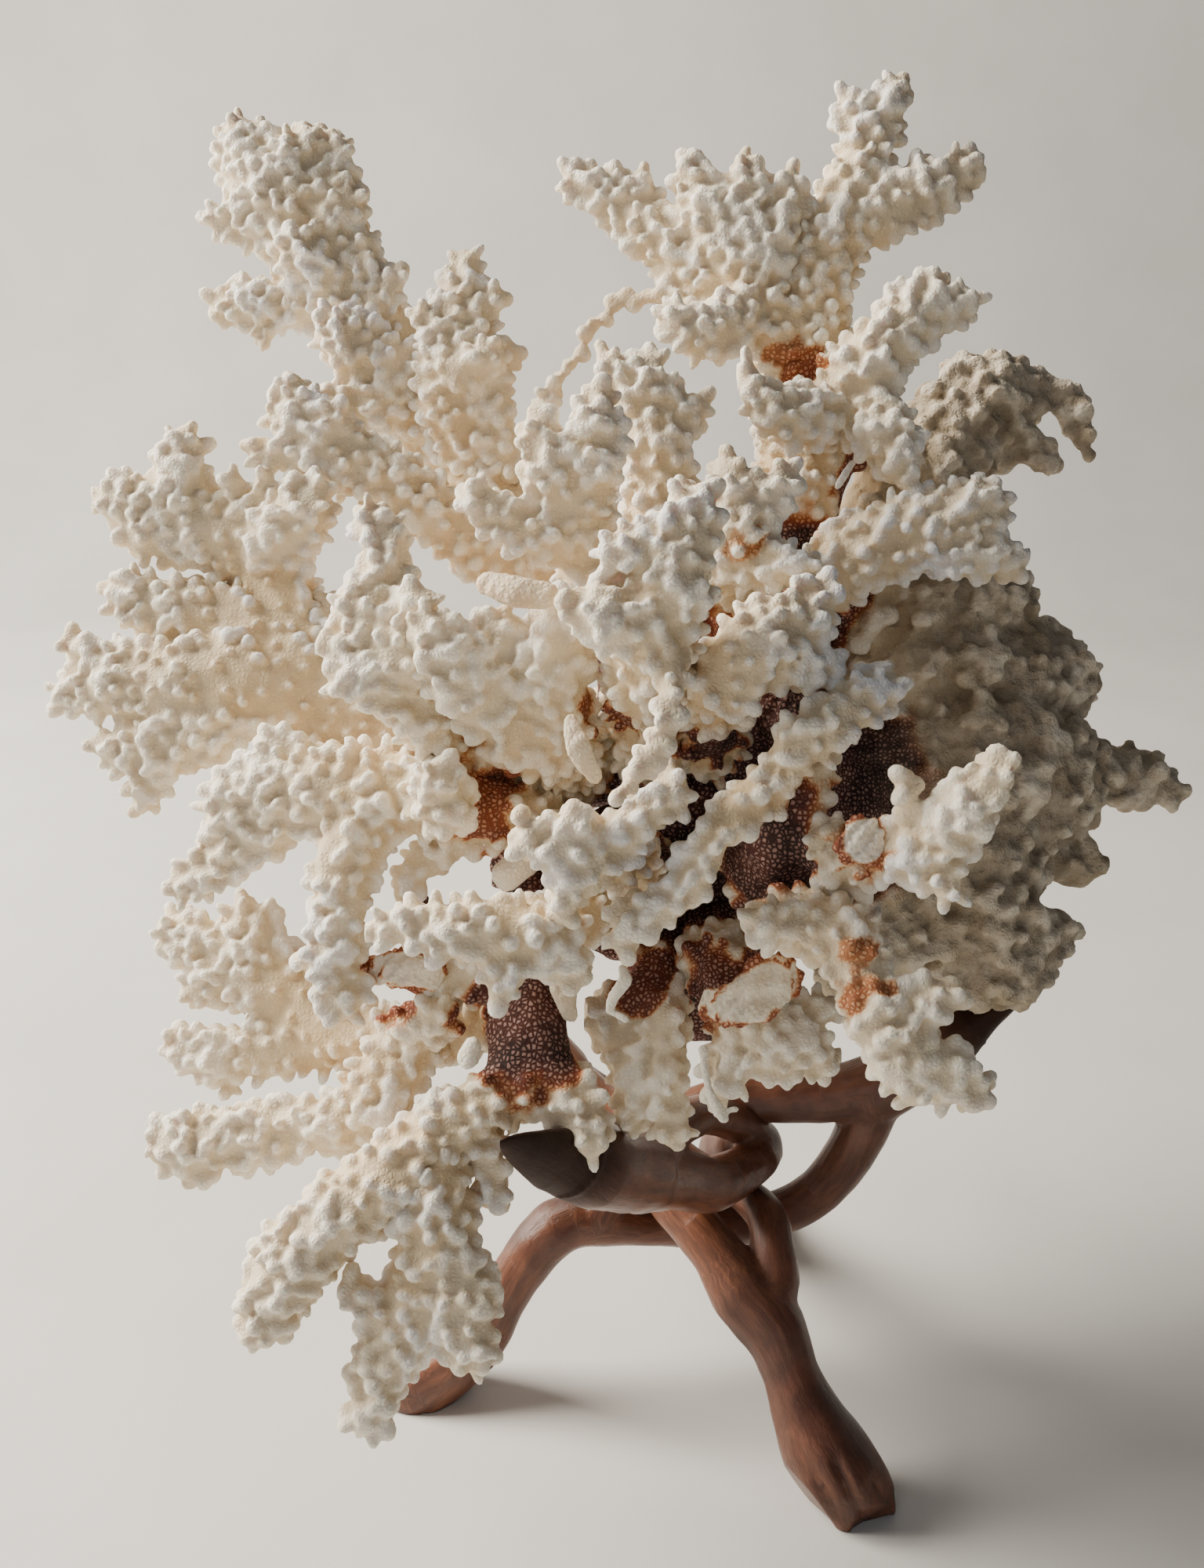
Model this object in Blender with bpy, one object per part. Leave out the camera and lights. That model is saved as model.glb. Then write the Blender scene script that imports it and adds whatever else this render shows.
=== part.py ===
"""Branching coral colony resting on a carved three-legged wooden stand, with no moving parts.

Lengths in the tables are millimetres. The object is built in metres, +Z up, standing on Z = 0 with the
middle of its outline over the origin.

The stand's points are (x, y, z, radius) from the middle of the stand's feet.
The colony's points are given as an upright view shows them, (right, up, toward, radius): right and up lie in a
plane through the colony's middle, seen from SIGHT_DISTANCE away by an eye that looks down by SIGHT_PITCH, and
toward is the distance from that plane to the eye. A point nearer the eye is brought in along its sight line.
"""

import math
import random

import bmesh
import bpy
from mathutils import Matrix, Vector

MM = 0.001

# Placing
STAND_MIDDLE = (5.2, -8.0)            # middle of the three feet, from the origin
SIGHT_OFFSET = -21.0                  # sight line's plane, to the left of the stand's middle
SIGHT_DISTANCE = 400.0
SIGHT_PITCH = math.radians(20.0)
SIGHT_HEIGHT = 183.6                  # height where the sight line meets the middle plane

# Making
STAND_VOXEL = 1.6
CORAL_VOXEL = 1.5
FIT_GAPS = (0.15, 0.45)               # clearances cut in turn between pieces that touch
FIT_STRETCH = 2.0                     # most that a sharp corner is moved, in clearances
STAND_TRIANGLES = 420
CORAL_AREA_PER_TRIANGLE = 110.0        # mm2
CORAL_LEAST_TRIANGLES = 60
BALL_DETAIL = 2
WELD = 0.01                           # shorter edges than this are closed up after a cut

# Blunt lumps that stand out all over the coral's fingers
LUMP_SEED = 7
LUMP_SHARE = 0.36                     # share of the facets that carry one
LUMP_LEAST_FACET = 18.0               # mm2
LUMP_HEIGHTS = (1.8, 3.2)
LUMP_DEEPEST_CREASE = -0.25           # facets beside deeper creases, in radians, stay plain

WOOD = ("carved_wood", (0.20, 0.075, 0.035, 1.0), 0.38)
CORAL_WHITE = ("coral_cream", (0.83, 0.78, 0.67, 1.0), 0.85)
CORAL_HEART = ("coral_brown", (0.20, 0.085, 0.055, 1.0), 0.9)
CORAL_ROCK = ("coral_grey", (0.52, 0.47, 0.39, 1.0), 0.95)

STAND = {
    "stand_left_leg": (
        ((-75, -10, 2, 10), (-68, -9, 8, 10.5), (-58, -8, 17, 9.5), (-49, -7, 31, 7), (-42, -5, 43, 7.4),
         (-34, -3, 52, 7.8), (-24, -1, 53, 7.2), (-12, 1, 50, 6.6), (0, 5, 47, 6.5), (16, 8, 45, 6.5),
         (31, 9, 48, 6.5), (42, 9, 56, 6.5), (50, 8, 70, 7), (55, 8, 86, 8)),
        ((-22, -1, 55, 7), (-15, 3, 66, 6), (-4, 8, 78, 6), (10, 10, 84, 6.5), (26, 10, 86, 7),
         (42, 9, 87, 8), (56, 8, 91, 9)),
        ((55, 8, 89, 9.5), (68, 9, 98, 9.5), (80, 11, 108, 8.5), (92, 12, 119, 6.5), (100, 13, 126, 4),
         (107, 13, 133, 1.2)),
    ),
    "stand_front_leg": (
        ((46, -52, 2, 10.5), (41, -50, 9, 12), (35, -45, 18, 10.5), (29, -38, 31, 7.5), (24, -32, 42, 9),
         (16.5, -28, 49, 9), (11, -23, 56, 7)),
        ((11, -23, 56, 7), (4, -16, 61.5, 6.5), (-3, -9, 65.5, 6), (-7, 0, 72, 6), (-12, 8, 79, 6.5),
         (-21, 14, 80, 7), (-32, 22, 84, 8.5)),
        ((22, -30, 46, 8), (26, -26, 52, 6.3), (25, -21, 58, 5.8), (24, -12, 62, 5.3), (17, 1, 61.5, 5),
         (6, 13, 61, 5), (-7, 22, 66, 5.5), (-20, 27, 74, 6.5), (-32, 26, 82, 8)),
        ((-33, 23, 85, 9.5), (-46, 33, 94, 9.5), (-58, 42, 104, 8.5), (-68, 50, 115, 6.5),
         (-76, 56, 125, 4), (-81, 60, 133, 1.2)),
    ),
    "stand_rear_leg": (
        ((30, 73, 2, 10), (26, 64, 8, 10.5), (23, 56, 17, 10), (20, 46, 31, 7.5), (17, 38, 43, 8.5),
         (16, 28, 56, 8.5), (19, 18, 66, 7)),
        ((20, 17, 67, 6.5), (24, 9, 71, 6.5), (23, 0, 72.5, 6), (16, -10, 74, 6.5), (7, -20, 77, 7.5),
         (-3, -33, 88, 8), (-12, -46, 97, 9)),
        ((24, 8, 73, 6), (16, 0, 84, 5), (5, -12, 94, 5), (-4, -28, 99, 6), (-11, -42, 101, 8)),
        ((-12, -46, 99, 10), (-20, -59, 109, 10.5), (-27, -72, 119, 9.5), (-33, -83, 128, 7),
         (-38, -91, 135, 4), (-42, -98, 141, 1.2)),
    ),
}

HEART = {
    "coral_heart": (
        (1.0, (24, -50, 4, 16), (26, -20, 2, 23), (22, 20, -4, 23), (12, 48, -10, 17)),
        (1.0, (26, -10, 0, 22), (58, -4, -22, 20)),
        (1.0, (22, 20, 0, 18), (44, 52, -12, 15)),
        (1.0, (20, 10, 0, 18), (-14, 4, 6, 12)),
        (1.0, (24, -40, 0, 16), (0, -32, 14, 11)),
    ),
}

ROCK = {
    "rocky_side_body": (
        (0.9, (60, 0, -26, 22), (84, 4, -34, 29), (104, 2, -36, 25), (114, 2, -36, 15)),
        (0.9, (76, 30, -30, 22), (94, 26, -36, 23), (112, 26, -38, 15), (121, 26, -38, 9)),
        (0.9, (86, -6, -32, 27), (92, -34, -28, 23), (104, -44, -26, 14), (113, -38, -28, 9)),
        (0.9, (112, 4, -38, 12), (128, 3, -42, 10), (138, 1, -44, 9), (145, -2, -44, 6)),
        (0.9, (110, -16, -32, 10), (120, -19, -32, 6), (126, -19, -32, 4)),
        (0.9, (84, 44, -28, 16), (100, 46, -32, 12)),
        (0.9, (72, -34, -22, 18), (64, -50, -12, 12)),
    ),
    "rocky_side_upper": (
        (0.9, (62, 44, -24, 15), (74, 66, -34, 17), (86, 84, -42, 16), (94, 96, -44, 14), (102, 103, -44, 9)),
        (0.9, (98, 94, -44, 10), (110, 99, -46, 8), (119, 97, -46, 6), (122, 90, -46, 5), (124, 85, -46, 3.5)),
        (0.9, (100, 88, -44, 9), (108, 86, -44, 7), (114, 81, -44, 4.5)),
    ),
}

BRANCHES = {
    "branch_left_middle": (
        (0.6, (-10, 2, 10, 11), (-30, 2, 16, 11), (-48, 6, 20, 12), (-62, 12, 20, 13), (-74, 24, 20, 13),
         (-86, 36, 18, 12), (-102, 43, 16, 11), (-118, 46, 16, 9), (-124, 51, 16, 6)),
        (0.7, (-74, 22, 20, 12), (-92, 26, 22, 14), (-110, 25, 22, 13), (-126, 26, 20, 10), (-136, 22, 18, 6)),
        (0.8, (-122, 28, 20, 8), (-131, 33, 20, 6), (-136, 37, 20, 4)),
        (0.8, (-98, 18, 22, 12), (-112, 10, 22, 10), (-122, 9, 22, 7), (-128, 10, 22, 5)),
        (0.8, (-112, 8, 22, 8), (-116, 0, 22, 7), (-118, -7, 22, 4)),
        (1.0, (-94, 14, 24, 6), (-102, 8, 24, 5), (-105, 6, 24, 4)),
        (0.7, (-68, 28, 18, 10), (-70, 42, 18, 6), (-71, 47, 18, 3)),
    ),
    "branch_left_upper": (
        (0.7, (-76, 32, 18, 11), (-82, 46, 16, 11), (-88, 58, 14, 12), (-104, 68, 14, 11), (-118, 72, 14, 9),
         (-125, 72, 14, 7)),
        (0.8, (-106, 70, 14, 9), (-107, 80, 14, 8), (-106, 88, 14, 6.5)),
        (0.8, (-86, 58, 16, 10), (-78, 68, 20, 10), (-73, 72, 22, 7)),
        (0.8, (-116, 70, 14, 9), (-117, 62, 16, 7)),
        (1.0, (-92, 66, 16, 6), (-94, 77, 18, 3.5)),
        (1.0, (-88, 66, 18, 5), (-86, 78, 20, 3)),
        (1.0, (-104, 62, 14, 7), (-110, 58, 14, 4)),
    ),
    "branch_left_inner": (
        (0.7, (-14, 4, 20, 11), (-32, 10, 44, 11), (-46, 22, 56, 12), (-56, 34, 60, 13), (-58, 44, 60, 12)),
        (0.8, (-58, 42, 60, 9), (-55, 56, 58, 8), (-58, 68, 56, 7)),
        (0.8, (-54, 34, 62, 10), (-68, 36, 62, 6)),
        (0.8, (-50, 32, 64, 10), (-46, 46, 66, 7)),
        (0.8, (-56, 26, 62, 9), (-66, 26, 64, 6)),
    ),
    "branch_left_lower": (
        (0.75, (2, -20, 24, 10), (-16, -10, 38, 10), (-32, -6, 44, 11), (-48, -3, 48, 12), (-64, -1, 46, 13),
         (-80, -2, 42, 12), (-92, -4, 40, 10), (-95, -8, 40, 8)),
        (0.8, (-84, -8, 40, 10), (-96, -18, 38, 8), (-104, -24, 36, 7), (-107, -27, 36, 5)),
        (0.8, (-46, -3, 50, 10), (-40, -4, 62, 9), (-42, 2, 66, 6)),
        (0.8, (-76, 4, 42, 9), (-84, 8, 42, 6)),
        (0.8, (-60, -10, 48, 10), (-66, -20, 50, 10), (-66, -32, 50, 9), (-68, -44, 50, 9), (-66, -54, 50, 8)),
        (1.0, (-68, -38, 50, 6), (-75, -44, 50, 4)),
        (0.6, (-34, -10, 40, 8), (-46, -20, 38, 8), (-52, -28, 38, 4)),
    ),
    "branch_bottom_left": (
        (0.9, (6, -34, 18, 10), (-10, -32, 32, 10), (-17, -46, 40, 11), (-20, -58, 44, 12), (-18, -70, 48, 13),
         (-22, -78, 50, 11), (-34, -84, 52, 10), (-44, -92, 54, 11), (-56, -102, 56, 12), (-70, -112, 56, 12),
         (-80, -124, 56, 12), (-86, -136, 56, 9)),
        (0.8, (-14, -74, 50, 11), (-6, -84, 54, 9), (-3, -91, 56, 7)),
        (0.8, (-34, -88, 52, 8), (-29, -98, 52, 7), (-27, -106, 52, 5)),
        (0.9, (-20, -54, 44, 9), (-34, -49, 42, 9), (-48, -48, 40, 8), (-58, -48, 38, 5)),
    ),
    "branch_bottom_left_drop": (
        (0.8, (-44, -94, 54, 11), (-42, -110, 56, 12), (-44, -124, 56, 12), (-50, -138, 56, 10),
         (-57, -150, 56, 9), (-60, -160, 56, 7)),
        (0.8, (-42, -118, 56, 11), (-36, -132, 58, 11), (-34, -145, 58, 8)),
        (0.8, (-50, -132, 56, 5), (-57, -135, 56, 5), (-62, -130, 56, 4), (-65, -126, 56, 3)),
    ),
    "branch_lower_left_fan": (
        (0.7, (-24, -58, 34, 9), (-42, -64, 26, 9), (-58, -66, 20, 10), (-70, -60, 16, 11), (-82, -52, 12, 12),
         (-96, -44, 10, 11), (-108, -38, 8, 8)),
        (0.8, (-84, -48, 12, 9), (-90, -36, 12, 8), (-91, -31, 12, 5)),
        (0.8, (-94, -48, 10, 9), (-104, -53, 10, 6)),
        (0.7, (-68, -66, 16, 9), (-86, -68, 14, 9), (-100, -70, 14, 8), (-108, -66, 14, 5)),
        (0.8, (-94, -70, 14, 6), (-95, -78, 14, 3)),
        (0.6, (-70, -62, 16, 11), (-78, -66, 14, 8)),
    ),
    "branch_lower_left_finger": (
        (0.8, (-44, -62, 30, 9), (-52, -70, 34, 10), (-60, -82, 36, 11), (-68, -86, 36, 9), (-82, -88, 34, 9),
         (-98, -91, 34, 10), (-108, -92, 34, 9)),
        (0.8, (-100, -94, 34, 7), (-104, -100, 34, 5)),
        (0.8, (-58, -84, 38, 9), (-52, -92, 38, 6)),
        (0.8, (-50, -64, 36, 8), (-40, -58, 46, 7)),
    ),
    "branch_upper_left": (
        (0.75, (8, 46, -10, 12), (-10, 60, -14, 12), (-26, 74, -16, 12), (-40, 92, -18, 13), (-56, 110, -20, 13),
         (-66, 126, -20, 13), (-74, 142, -20, 15)),
        (0.8, (-74, 142, -20, 15), (-84, 152, -20, 13), (-92, 164, -20, 8)),
        (0.8, (-80, 154, -20, 13), (-72, 162, -18, 8), (-67, 161, -16, 4)),
        (0.8, (-72, 150, -20, 12), (-66, 148, -14, 7)),
        (0.8, (-80, 146, -20, 13), (-90, 144, -18, 8), (-98, 144, -18, 4.5)),
        (0.8, (-68, 126, -20, 10), (-84, 123, -20, 8), (-96, 122, -22, 6.5)),
        (1.0, (-86, 120, -20, 5), (-87, 110, -20, 3)),
        (0.8, (-64, 128, -18, 10), (-77, 136, -12, 8)),
        (1.0, (-61, 128, -14, 5), (-60, 139, -12, 2.5)),
        (1.0, (-58, 122, -14, 6), (-51, 130, -12, 3)),
        (0.8, (-52, 104, -14, 10), (-64, 112, -8, 9), (-69, 117, -6, 6)),
        (0.8, (-54, 98, -14, 10), (-70, 95, -8, 7)),
    ),
    "branch_upper_left_side": (
        (0.8, (-34, 84, -14, 10), (-38, 100, -8, 11), (-36, 116, -6, 10), (-36, 126, -6, 7), (-35, 134, -6, 5)),
        (1.0, (-34, 118, -6, 6), (-27, 124, -4, 4)),
        (1.0, (-40, 112, -4, 7), (-46, 120, -2, 4)),
        (1.0, (-36, 106, -2, 8), (-28, 110, 2, 5)),
        (0.9, (-22, 74, -12, 6), (-26, 88, -8, 5), (-26, 100, -6, 4.5), (-23, 110, -4, 4)),
    ),
    "branch_left_high": (
        (0.75, (-8, 52, 0, 10), (-24, 58, 4, 10), (-36, 64, 8, 10), (-50, 74, 12, 10), (-66, 84, 14, 10),
         (-77, 94, 14, 9), (-79, 102, 14, 5)),
        (0.8, (-72, 86, 14, 8), (-82, 84, 16, 6), (-90, 86, 16, 4)),
        (0.8, (-66, 86, 14, 8), (-68, 94, 18, 5)),
        (0.8, (-74, 84, 14, 9), (-82, 94, 16, 6)),
    ),
    "branch_centre_left_blade": (
        (0.6, (-6, 6, 24, 12), (-16, 14, 50, 14), (-28, 24, 62, 14), (-38, 32, 68, 11), (-45, 39, 70, 8)),
        (0.7, (-14, 14, 54, 13), (-12, 32, 66, 12), (-10, 43, 68, 8)),
        (0.7, (-24, 26, 62, 12), (-26, 40, 68, 8)),
    ),
    "branch_centre_left_lower": (
        (0.8, (8, -28, 30, 9), (-4, -32, 56, 9), (-14, -38, 70, 11), (-26, -38, 74, 11), (-40, -37, 74, 10),
         (-52, -36, 72, 7), (-56, -37, 72, 5)),
        (0.8, (-22, -44, 74, 8), (-26, -52, 74, 6)),
        (0.8, (-12, -42, 72, 9), (-8, -48, 72, 6)),
    ),
    "branch_centre_left_upper": (
        (0.8, (20, -22, 26, 9), (10, -22, 50, 9), (4, -18, 72, 9), (-6, -15, 80, 9), (-14, -16, 82, 7),
         (-23, -14, 82, 4.5)),
        (0.8, (4, -14, 78, 8), (16, -3, 80, 8), (18, 2, 80, 5)),
        (0.8, (-2, -20, 80, 8), (-8, -28, 80, 7), (-10, -34, 78, 5)),
        (1.0, (-16, -14, 82, 5), (-20, -7, 84, 3)),
        (1.0, (-6, -12, 82, 6), (-9, -5, 84, 3)),
    ),
    "branch_diagonal": (
        (0.75, (36, -18, 30, 9), (40, -8, 58, 8.5), (42, -1, 74, 8), (35, -7, 78, 7), (29, -13, 79, 6.5),
         (26, -21, 78, 6.5), (19, -28, 77, 7), (10, -32, 76, 7.5), (6, -36, 77, 6), (5, -42, 76, 4.5)),
        (0.75, (42, -1, 74, 8), (51, 9, 78, 8.5), (62, 18, 75, 9), (72, 25, 68, 7.5)),
    ),
    "branch_right_front": (
        (0.9, (34, -14, 20, 12), (42, -20, 44, 13), (47, -14, 58, 13), (50, -4, 64, 11), (54, 5, 64, 9)),
        (0.9, (52, -16, 62, 9), (60, -16, 72, 9), (66, -15, 78, 8.5)),
        (0.8, (60, -20, 66, 9), (72, -18, 78, 9), (84, -15, 86, 10), (93, -6, 92, 8.5), (101, 3, 94, 8.5)),
        (0.8, (80, -12, 86, 6), (78, -2, 90, 5), (78, 3, 90, 4)),
        (0.8, (84, -18, 86, 9), (88, -26, 88, 7)),
    ),
    "branch_right_lower": (
        (0.9, (44, -26, 44, 12), (50, -34, 60, 11), (60, -39, 74, 11), (66, -50, 78, 9), (71, -60, 80, 10),
         (78, -68, 80, 10)),
        (0.8, (50, -34, 64, 9), (44, -35, 72, 8), (40, -33, 74, 5)),
        (0.8, (74, -60, 80, 8), (84, -55, 80, 8), (89, -54, 80, 6)),
        (0.8, (78, -68, 80, 9), (86, -72, 80, 9), (94, -78, 78, 8)),
        (0.8, (76, -70, 80, 9), (80, -78, 80, 7)),
    ),
    "branch_bottom_fingers": (
        (0.9, (20, -40, 16, 11), (14, -48, 30, 9), (8, -60, 36, 8), (7, -76, 38, 7), (7, -86, 38, 5.5)),
        (0.9, (16, -50, 30, 8), (16, -62, 40, 8), (16, -76, 42, 7), (18, -89, 42, 6.5)),
        (0.9, (6, -52, 32, 7), (0, -58, 34, 6), (-1, -66, 34, 5)),
    ),
    "branch_bottom_broken": (
        (0.9, (28, -38, 18, 12), (30, -46, 38, 11), (36, -54, 48, 11)),
        (0.8, (32, -54, 44, 10), (40, -64, 48, 11), (50, -68, 48, 9), (57, -70, 46, 6)),
        (0.8, (36, -62, 48, 9), (32, -72, 48, 8), (30, -78, 48, 5)),
        (0.8, (46, -62, 46, 9), (56, -58, 44, 6)),
    ),
    "branch_centre_top_left": (
        (0.8, (8, 36, 14, 11), (2, 48, 34, 11), (-4, 60, 44, 11), (-8, 72, 50, 10), (-14, 82, 54, 9),
         (-17, 92, 54, 6)),
        (0.8, (-6, 70, 50, 9), (-3, 84, 54, 9), (-1, 94, 54, 7), (-1, 100, 54, 4.5)),
        (0.8, (-4, 62, 46, 9), (-18, 64, 52, 8), (-28, 70, 54, 7), (-33, 73, 54, 5)),
    ),
    "branch_centre_top_middle": (
        (0.8, (14, 46, 6, 11), (14, 62, 20, 10), (15, 80, 28, 10), (14, 94, 30, 9), (12, 106, 30, 6)),
        (0.8, (14, 88, 30, 8), (24, 97, 30, 6)),
        (0.8, (12, 92, 30, 8), (3, 104, 30, 6), (0, 110, 30, 4)),
    ),
    "branch_centre_front": (
        (0.8, (14, 8, 24, 12), (12, 22, 58, 12), (14, 40, 82, 13), (18, 56, 88, 13), (22, 66, 88, 10),
         (25, 73, 86, 7)),
        (0.8, (10, 42, 86, 11), (0, 44, 90, 9), (-8, 46, 90, 6)),
        (0.8, (18, 58, 88, 10), (6, 60, 90, 8)),
        (1.0, (18, 34, 88, 6), (17, 18, 92, 4), (12, 6, 91, 4), (5, -2, 89, 3.5)),
    ),
    "branch_centre_top_right": (
        (0.8, (34, 34, 14, 11), (36, 48, 44, 10), (36, 60, 56, 10), (34, 74, 58, 9), (32, 83, 56, 6)),
        (0.8, (38, 66, 58, 8), (44, 76, 58, 6), (46, 80, 56, 4)),
        (0.8, (38, 58, 58, 8), (48, 54, 60, 7), (54, 55, 60, 5)),
    ),
    "branch_centre_blade": (
        (0.55, (26, 8, 22, 11), (29, 20, 58, 10), (32, 28, 73, 12), (42, 36, 74, 13), (52, 44, 70, 9),
         (57, 50, 66, 6)),
        (0.6, (40, 34, 74, 11), (52, 30, 72, 8), (58, 28, 70, 5)),
    ),
    "branch_upper_right": (
        (0.8, (36, 46, -10, 14), (46, 62, -6, 14), (52, 80, 0, 14), (54, 98, 4, 13), (52, 114, 4, 12),
         (54, 130, 4, 11), (62, 145, 4, 10), (66, 158, 4, 9), (72, 170, 4, 7), (76, 177, 4, 5)),
        (0.8, (66, 158, 4, 7), (64, 170, 4, 6), (63, 174, 4, 4)),
        (0.8, (64, 142, 4, 9), (76, 148, 6, 9), (86, 154, 6, 8), (92, 156, 6, 7)),
    ),
    "branch_upper_right_left": (
        (0.8, (50, 112, 6, 11), (42, 120, 6, 11), (36, 130, 6, 11), (28, 142, 6, 10), (24, 152, 6, 7),
         (22, 157, 6, 5)),
        (0.8, (38, 136, 8, 8), (37, 150, 8, 7), (36, 159, 8, 5)),
        (0.8, (42, 134, 8, 8), (48, 146, 8, 7), (48, 154, 8, 5)),
        (0.8, (34, 124, 4, 9), (22, 132, 2, 9), (12, 142, 0, 9), (2, 150, -2, 8), (-7, 154, -2, 6)),
        (0.8, (10, 144, 0, 7), (10, 154, 0, 5)),
        (0.8, (36, 120, 10, 9), (26, 114, 14, 8), (18, 119, 16, 5)),
        (1.0, (22, 122, 6, 4), (6, 124, 2, 2.6), (-5, 112, 4, 2.6), (-16, 95, 6, 2.6)),
    ),
    "branch_upper_right_side": (
        (0.8, (56, 92, 6, 11), (64, 102, 16, 11), (72, 112, 20, 10), (80, 120, 20, 9), (84, 127, 20, 6)),
        (0.8, (80, 118, 20, 8), (88, 121, 20, 7), (93, 123, 20, 5)),
        (0.8, (62, 96, 14, 10), (72, 90, 22, 9), (76, 82, 24, 7), (77, 77, 24, 5)),
        (0.8, (56, 94, 16, 10), (46, 94, 26, 8), (40, 100, 28, 6), (37, 105, 28, 4)),
    ),
    "branch_right_light": (
        (0.8, (42, 40, 0, 12), (58, 54, 14, 11), (72, 62, 22, 11), (86, 66, 24, 11), (96, 70, 24, 9)),
        (0.8, (84, 64, 24, 9), (94, 60, 24, 9), (103, 56, 22, 6.5)),
    ),
    "branch_back_left": (
        (0.9, (2, 6, -14, 12), (-18, 8, -36, 12), (-30, 12, -54, 11), (-38, 20, -68, 10), (-42, 30, -76, 7)),
        (0.9, (-26, 10, -48, 9), (-34, 0, -62, 9), (-38, -6, -72, 6)),
    ),
    "branch_back_middle": (
        (0.9, (22, 4, -18, 16), (16, 8, -50, 13), (10, 14, -80, 12), (4, 20, -100, 8)),
        (0.9, (16, 8, -54, 11), (20, -8, -76, 10), (22, -16, -92, 7)),
        (0.9, (12, 12, -70, 9), (22, 26, -86, 8), (26, 34, -94, 6)),
    ),
    "branch_back_high": (
        (0.9, (12, 40, -20, 12), (6, 54, -42, 12), (0, 66, -64, 11), (-4, 78, -80, 8)),
        (0.9, (2, 60, -56, 10), (14, 70, -74, 8), (16, 78, -82, 6)),
    ),
    "branch_back_upper_left": (
        (0.9, (-28, 78, -22, 9), (-36, 88, -40, 9), (-44, 98, -54, 8), (-48, 106, -62, 6)),
    ),
    "branch_back_upper_right": (
        (0.9, (50, 84, -8, 11), (48, 98, -30, 11), (46, 112, -48, 10), (46, 124, -58, 7)),
        (0.9, (48, 102, -36, 9), (56, 112, -56, 7), (58, 118, -62, 5)),
    ),
    "branch_back_right": (
        (0.9, (54, 34, -30, 14), (60, 46, -56, 13), (66, 58, -76, 11), (70, 70, -88, 8)),
        (0.9, (60, 44, -56, 11), (76, 40, -76, 9), (84, 40, -86, 6)),
    ),
    "branch_back_low": (
        (0.9, (26, -32, -14, 14), (22, -40, -40, 12), (20, -46, -60, 11), (20, -46, -78, 8)),
        (0.9, (22, -42, -48, 10), (36, -50, -62, 9), (42, -52, -72, 6)),
    ),
    "branch_back_low_right": (
        (0.9, (60, -26, -34, 16), (66, -34, -60, 13), (72, -36, -80, 10), (76, -34, -90, 7)),
        (0.9, (66, -32, -60, 11), (86, -26, -74, 9), (94, -22, -82, 6)),
    ),
}

SINES = (math.sin(SIGHT_PITCH), math.cos(SIGHT_PITCH))
SIGHT_UP = Vector((0.0, SINES[0], SINES[1]))
SIGHT_TOWARD = Vector((0.0, -SINES[1], SINES[0]))
SIGHT_MIDDLE = Vector((STAND_MIDDLE[0] + SIGHT_OFFSET, STAND_MIDDLE[1], SIGHT_HEIGHT))


def clear_scene():
    for obj in list(bpy.data.objects):
        bpy.data.objects.remove(obj, do_unlink=True)


def make_material(name, colour, roughness):
    material = bpy.data.materials.new(name)
    material.use_nodes = True
    shader = material.node_tree.nodes["Principled BSDF"]
    shader.inputs["Base Color"].default_value = colour
    shader.inputs["Roughness"].default_value = roughness
    shader.inputs["Metallic"].default_value = 0.0
    material.diffuse_color = colour
    return material


def seen_point(right, up, toward, radius):
    """A colony point's place and radius in the object's own frame, in mm."""
    nearness = (SIGHT_DISTANCE - toward) / SIGHT_DISTANCE
    place = Vector((right * nearness, 0.0, 0.0)) + SIGHT_UP * (up * nearness) + SIGHT_TOWARD * toward
    return SIGHT_MIDDLE + place, radius * nearness


def stand_point(x, y, z, radius):
    return Vector((x + STAND_MIDDLE[0], y + STAND_MIDDLE[1], z)), radius


def unit_ball():
    shape = bmesh.new()
    bmesh.ops.create_icosphere(shape, subdivisions=BALL_DETAIL, radius=1.0)
    points = [vert.co.copy() for vert in shape.verts]
    shape.free()
    return points


def add_link(mesh, ball, start, end, squash):
    """A closed hull round two balls, each squashed by the same matrix."""
    link = bmesh.new()
    for place, radius in (start, end):
        for point in ball:
            link.verts.new(place + squash @ (point * radius))
    hull = bmesh.ops.convex_hull(link, input=link.verts, use_existing_faces=False)
    inside = {item for item in hull["geom_interior"] if isinstance(item, bmesh.types.BMVert)}
    bmesh.ops.delete(link, geom=list(inside), context="VERTS")
    piece = bpy.data.meshes.new("link")
    link.to_mesh(piece)
    link.free()
    mesh.from_mesh(piece)
    bpy.data.meshes.remove(piece)


def flattening(flat, axis):
    """A matrix that scales by flat along the axis and leaves the other directions alone."""
    return Matrix.Scale(flat, 3, axis)


def link_runs(runs, place_point, squash_axis):
    """All links of a piece's runs in one mesh, in mm."""
    ball = unit_ball()
    mesh = bmesh.new()
    for flat, points in runs:
        squash = flattening(flat, squash_axis)
        balls = [place_point(*point) for point in points]
        for start, end in zip(balls, balls[1:]):
            add_link(mesh, ball, start, end, squash)
    return mesh


def raise_lumps(mesh, draw):
    """Draw the middles of many facets out into blunt lumps."""
    shape = bmesh.new()
    shape.from_mesh(mesh)
    shape.normal_update()
    chosen = []
    for face in shape.faces:
        crease = min(edge.calc_face_angle_signed(0.0) for edge in face.edges)
        roomy = face.calc_area() > LUMP_LEAST_FACET and crease > LUMP_DEEPEST_CREASE
        if draw.random() < LUMP_SHARE and roomy:
            chosen.append((face, draw.uniform(*LUMP_HEIGHTS)))
    for face, height in chosen:
        bmesh.ops.poke(shape, faces=[face], offset=height)
    shape.to_mesh(mesh)
    shape.free()


def evaluated_mesh(obj):
    graph = bpy.context.evaluated_depsgraph_get()
    graph.update()
    return bpy.data.meshes.new_from_object(obj.evaluated_get(graph))


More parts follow.
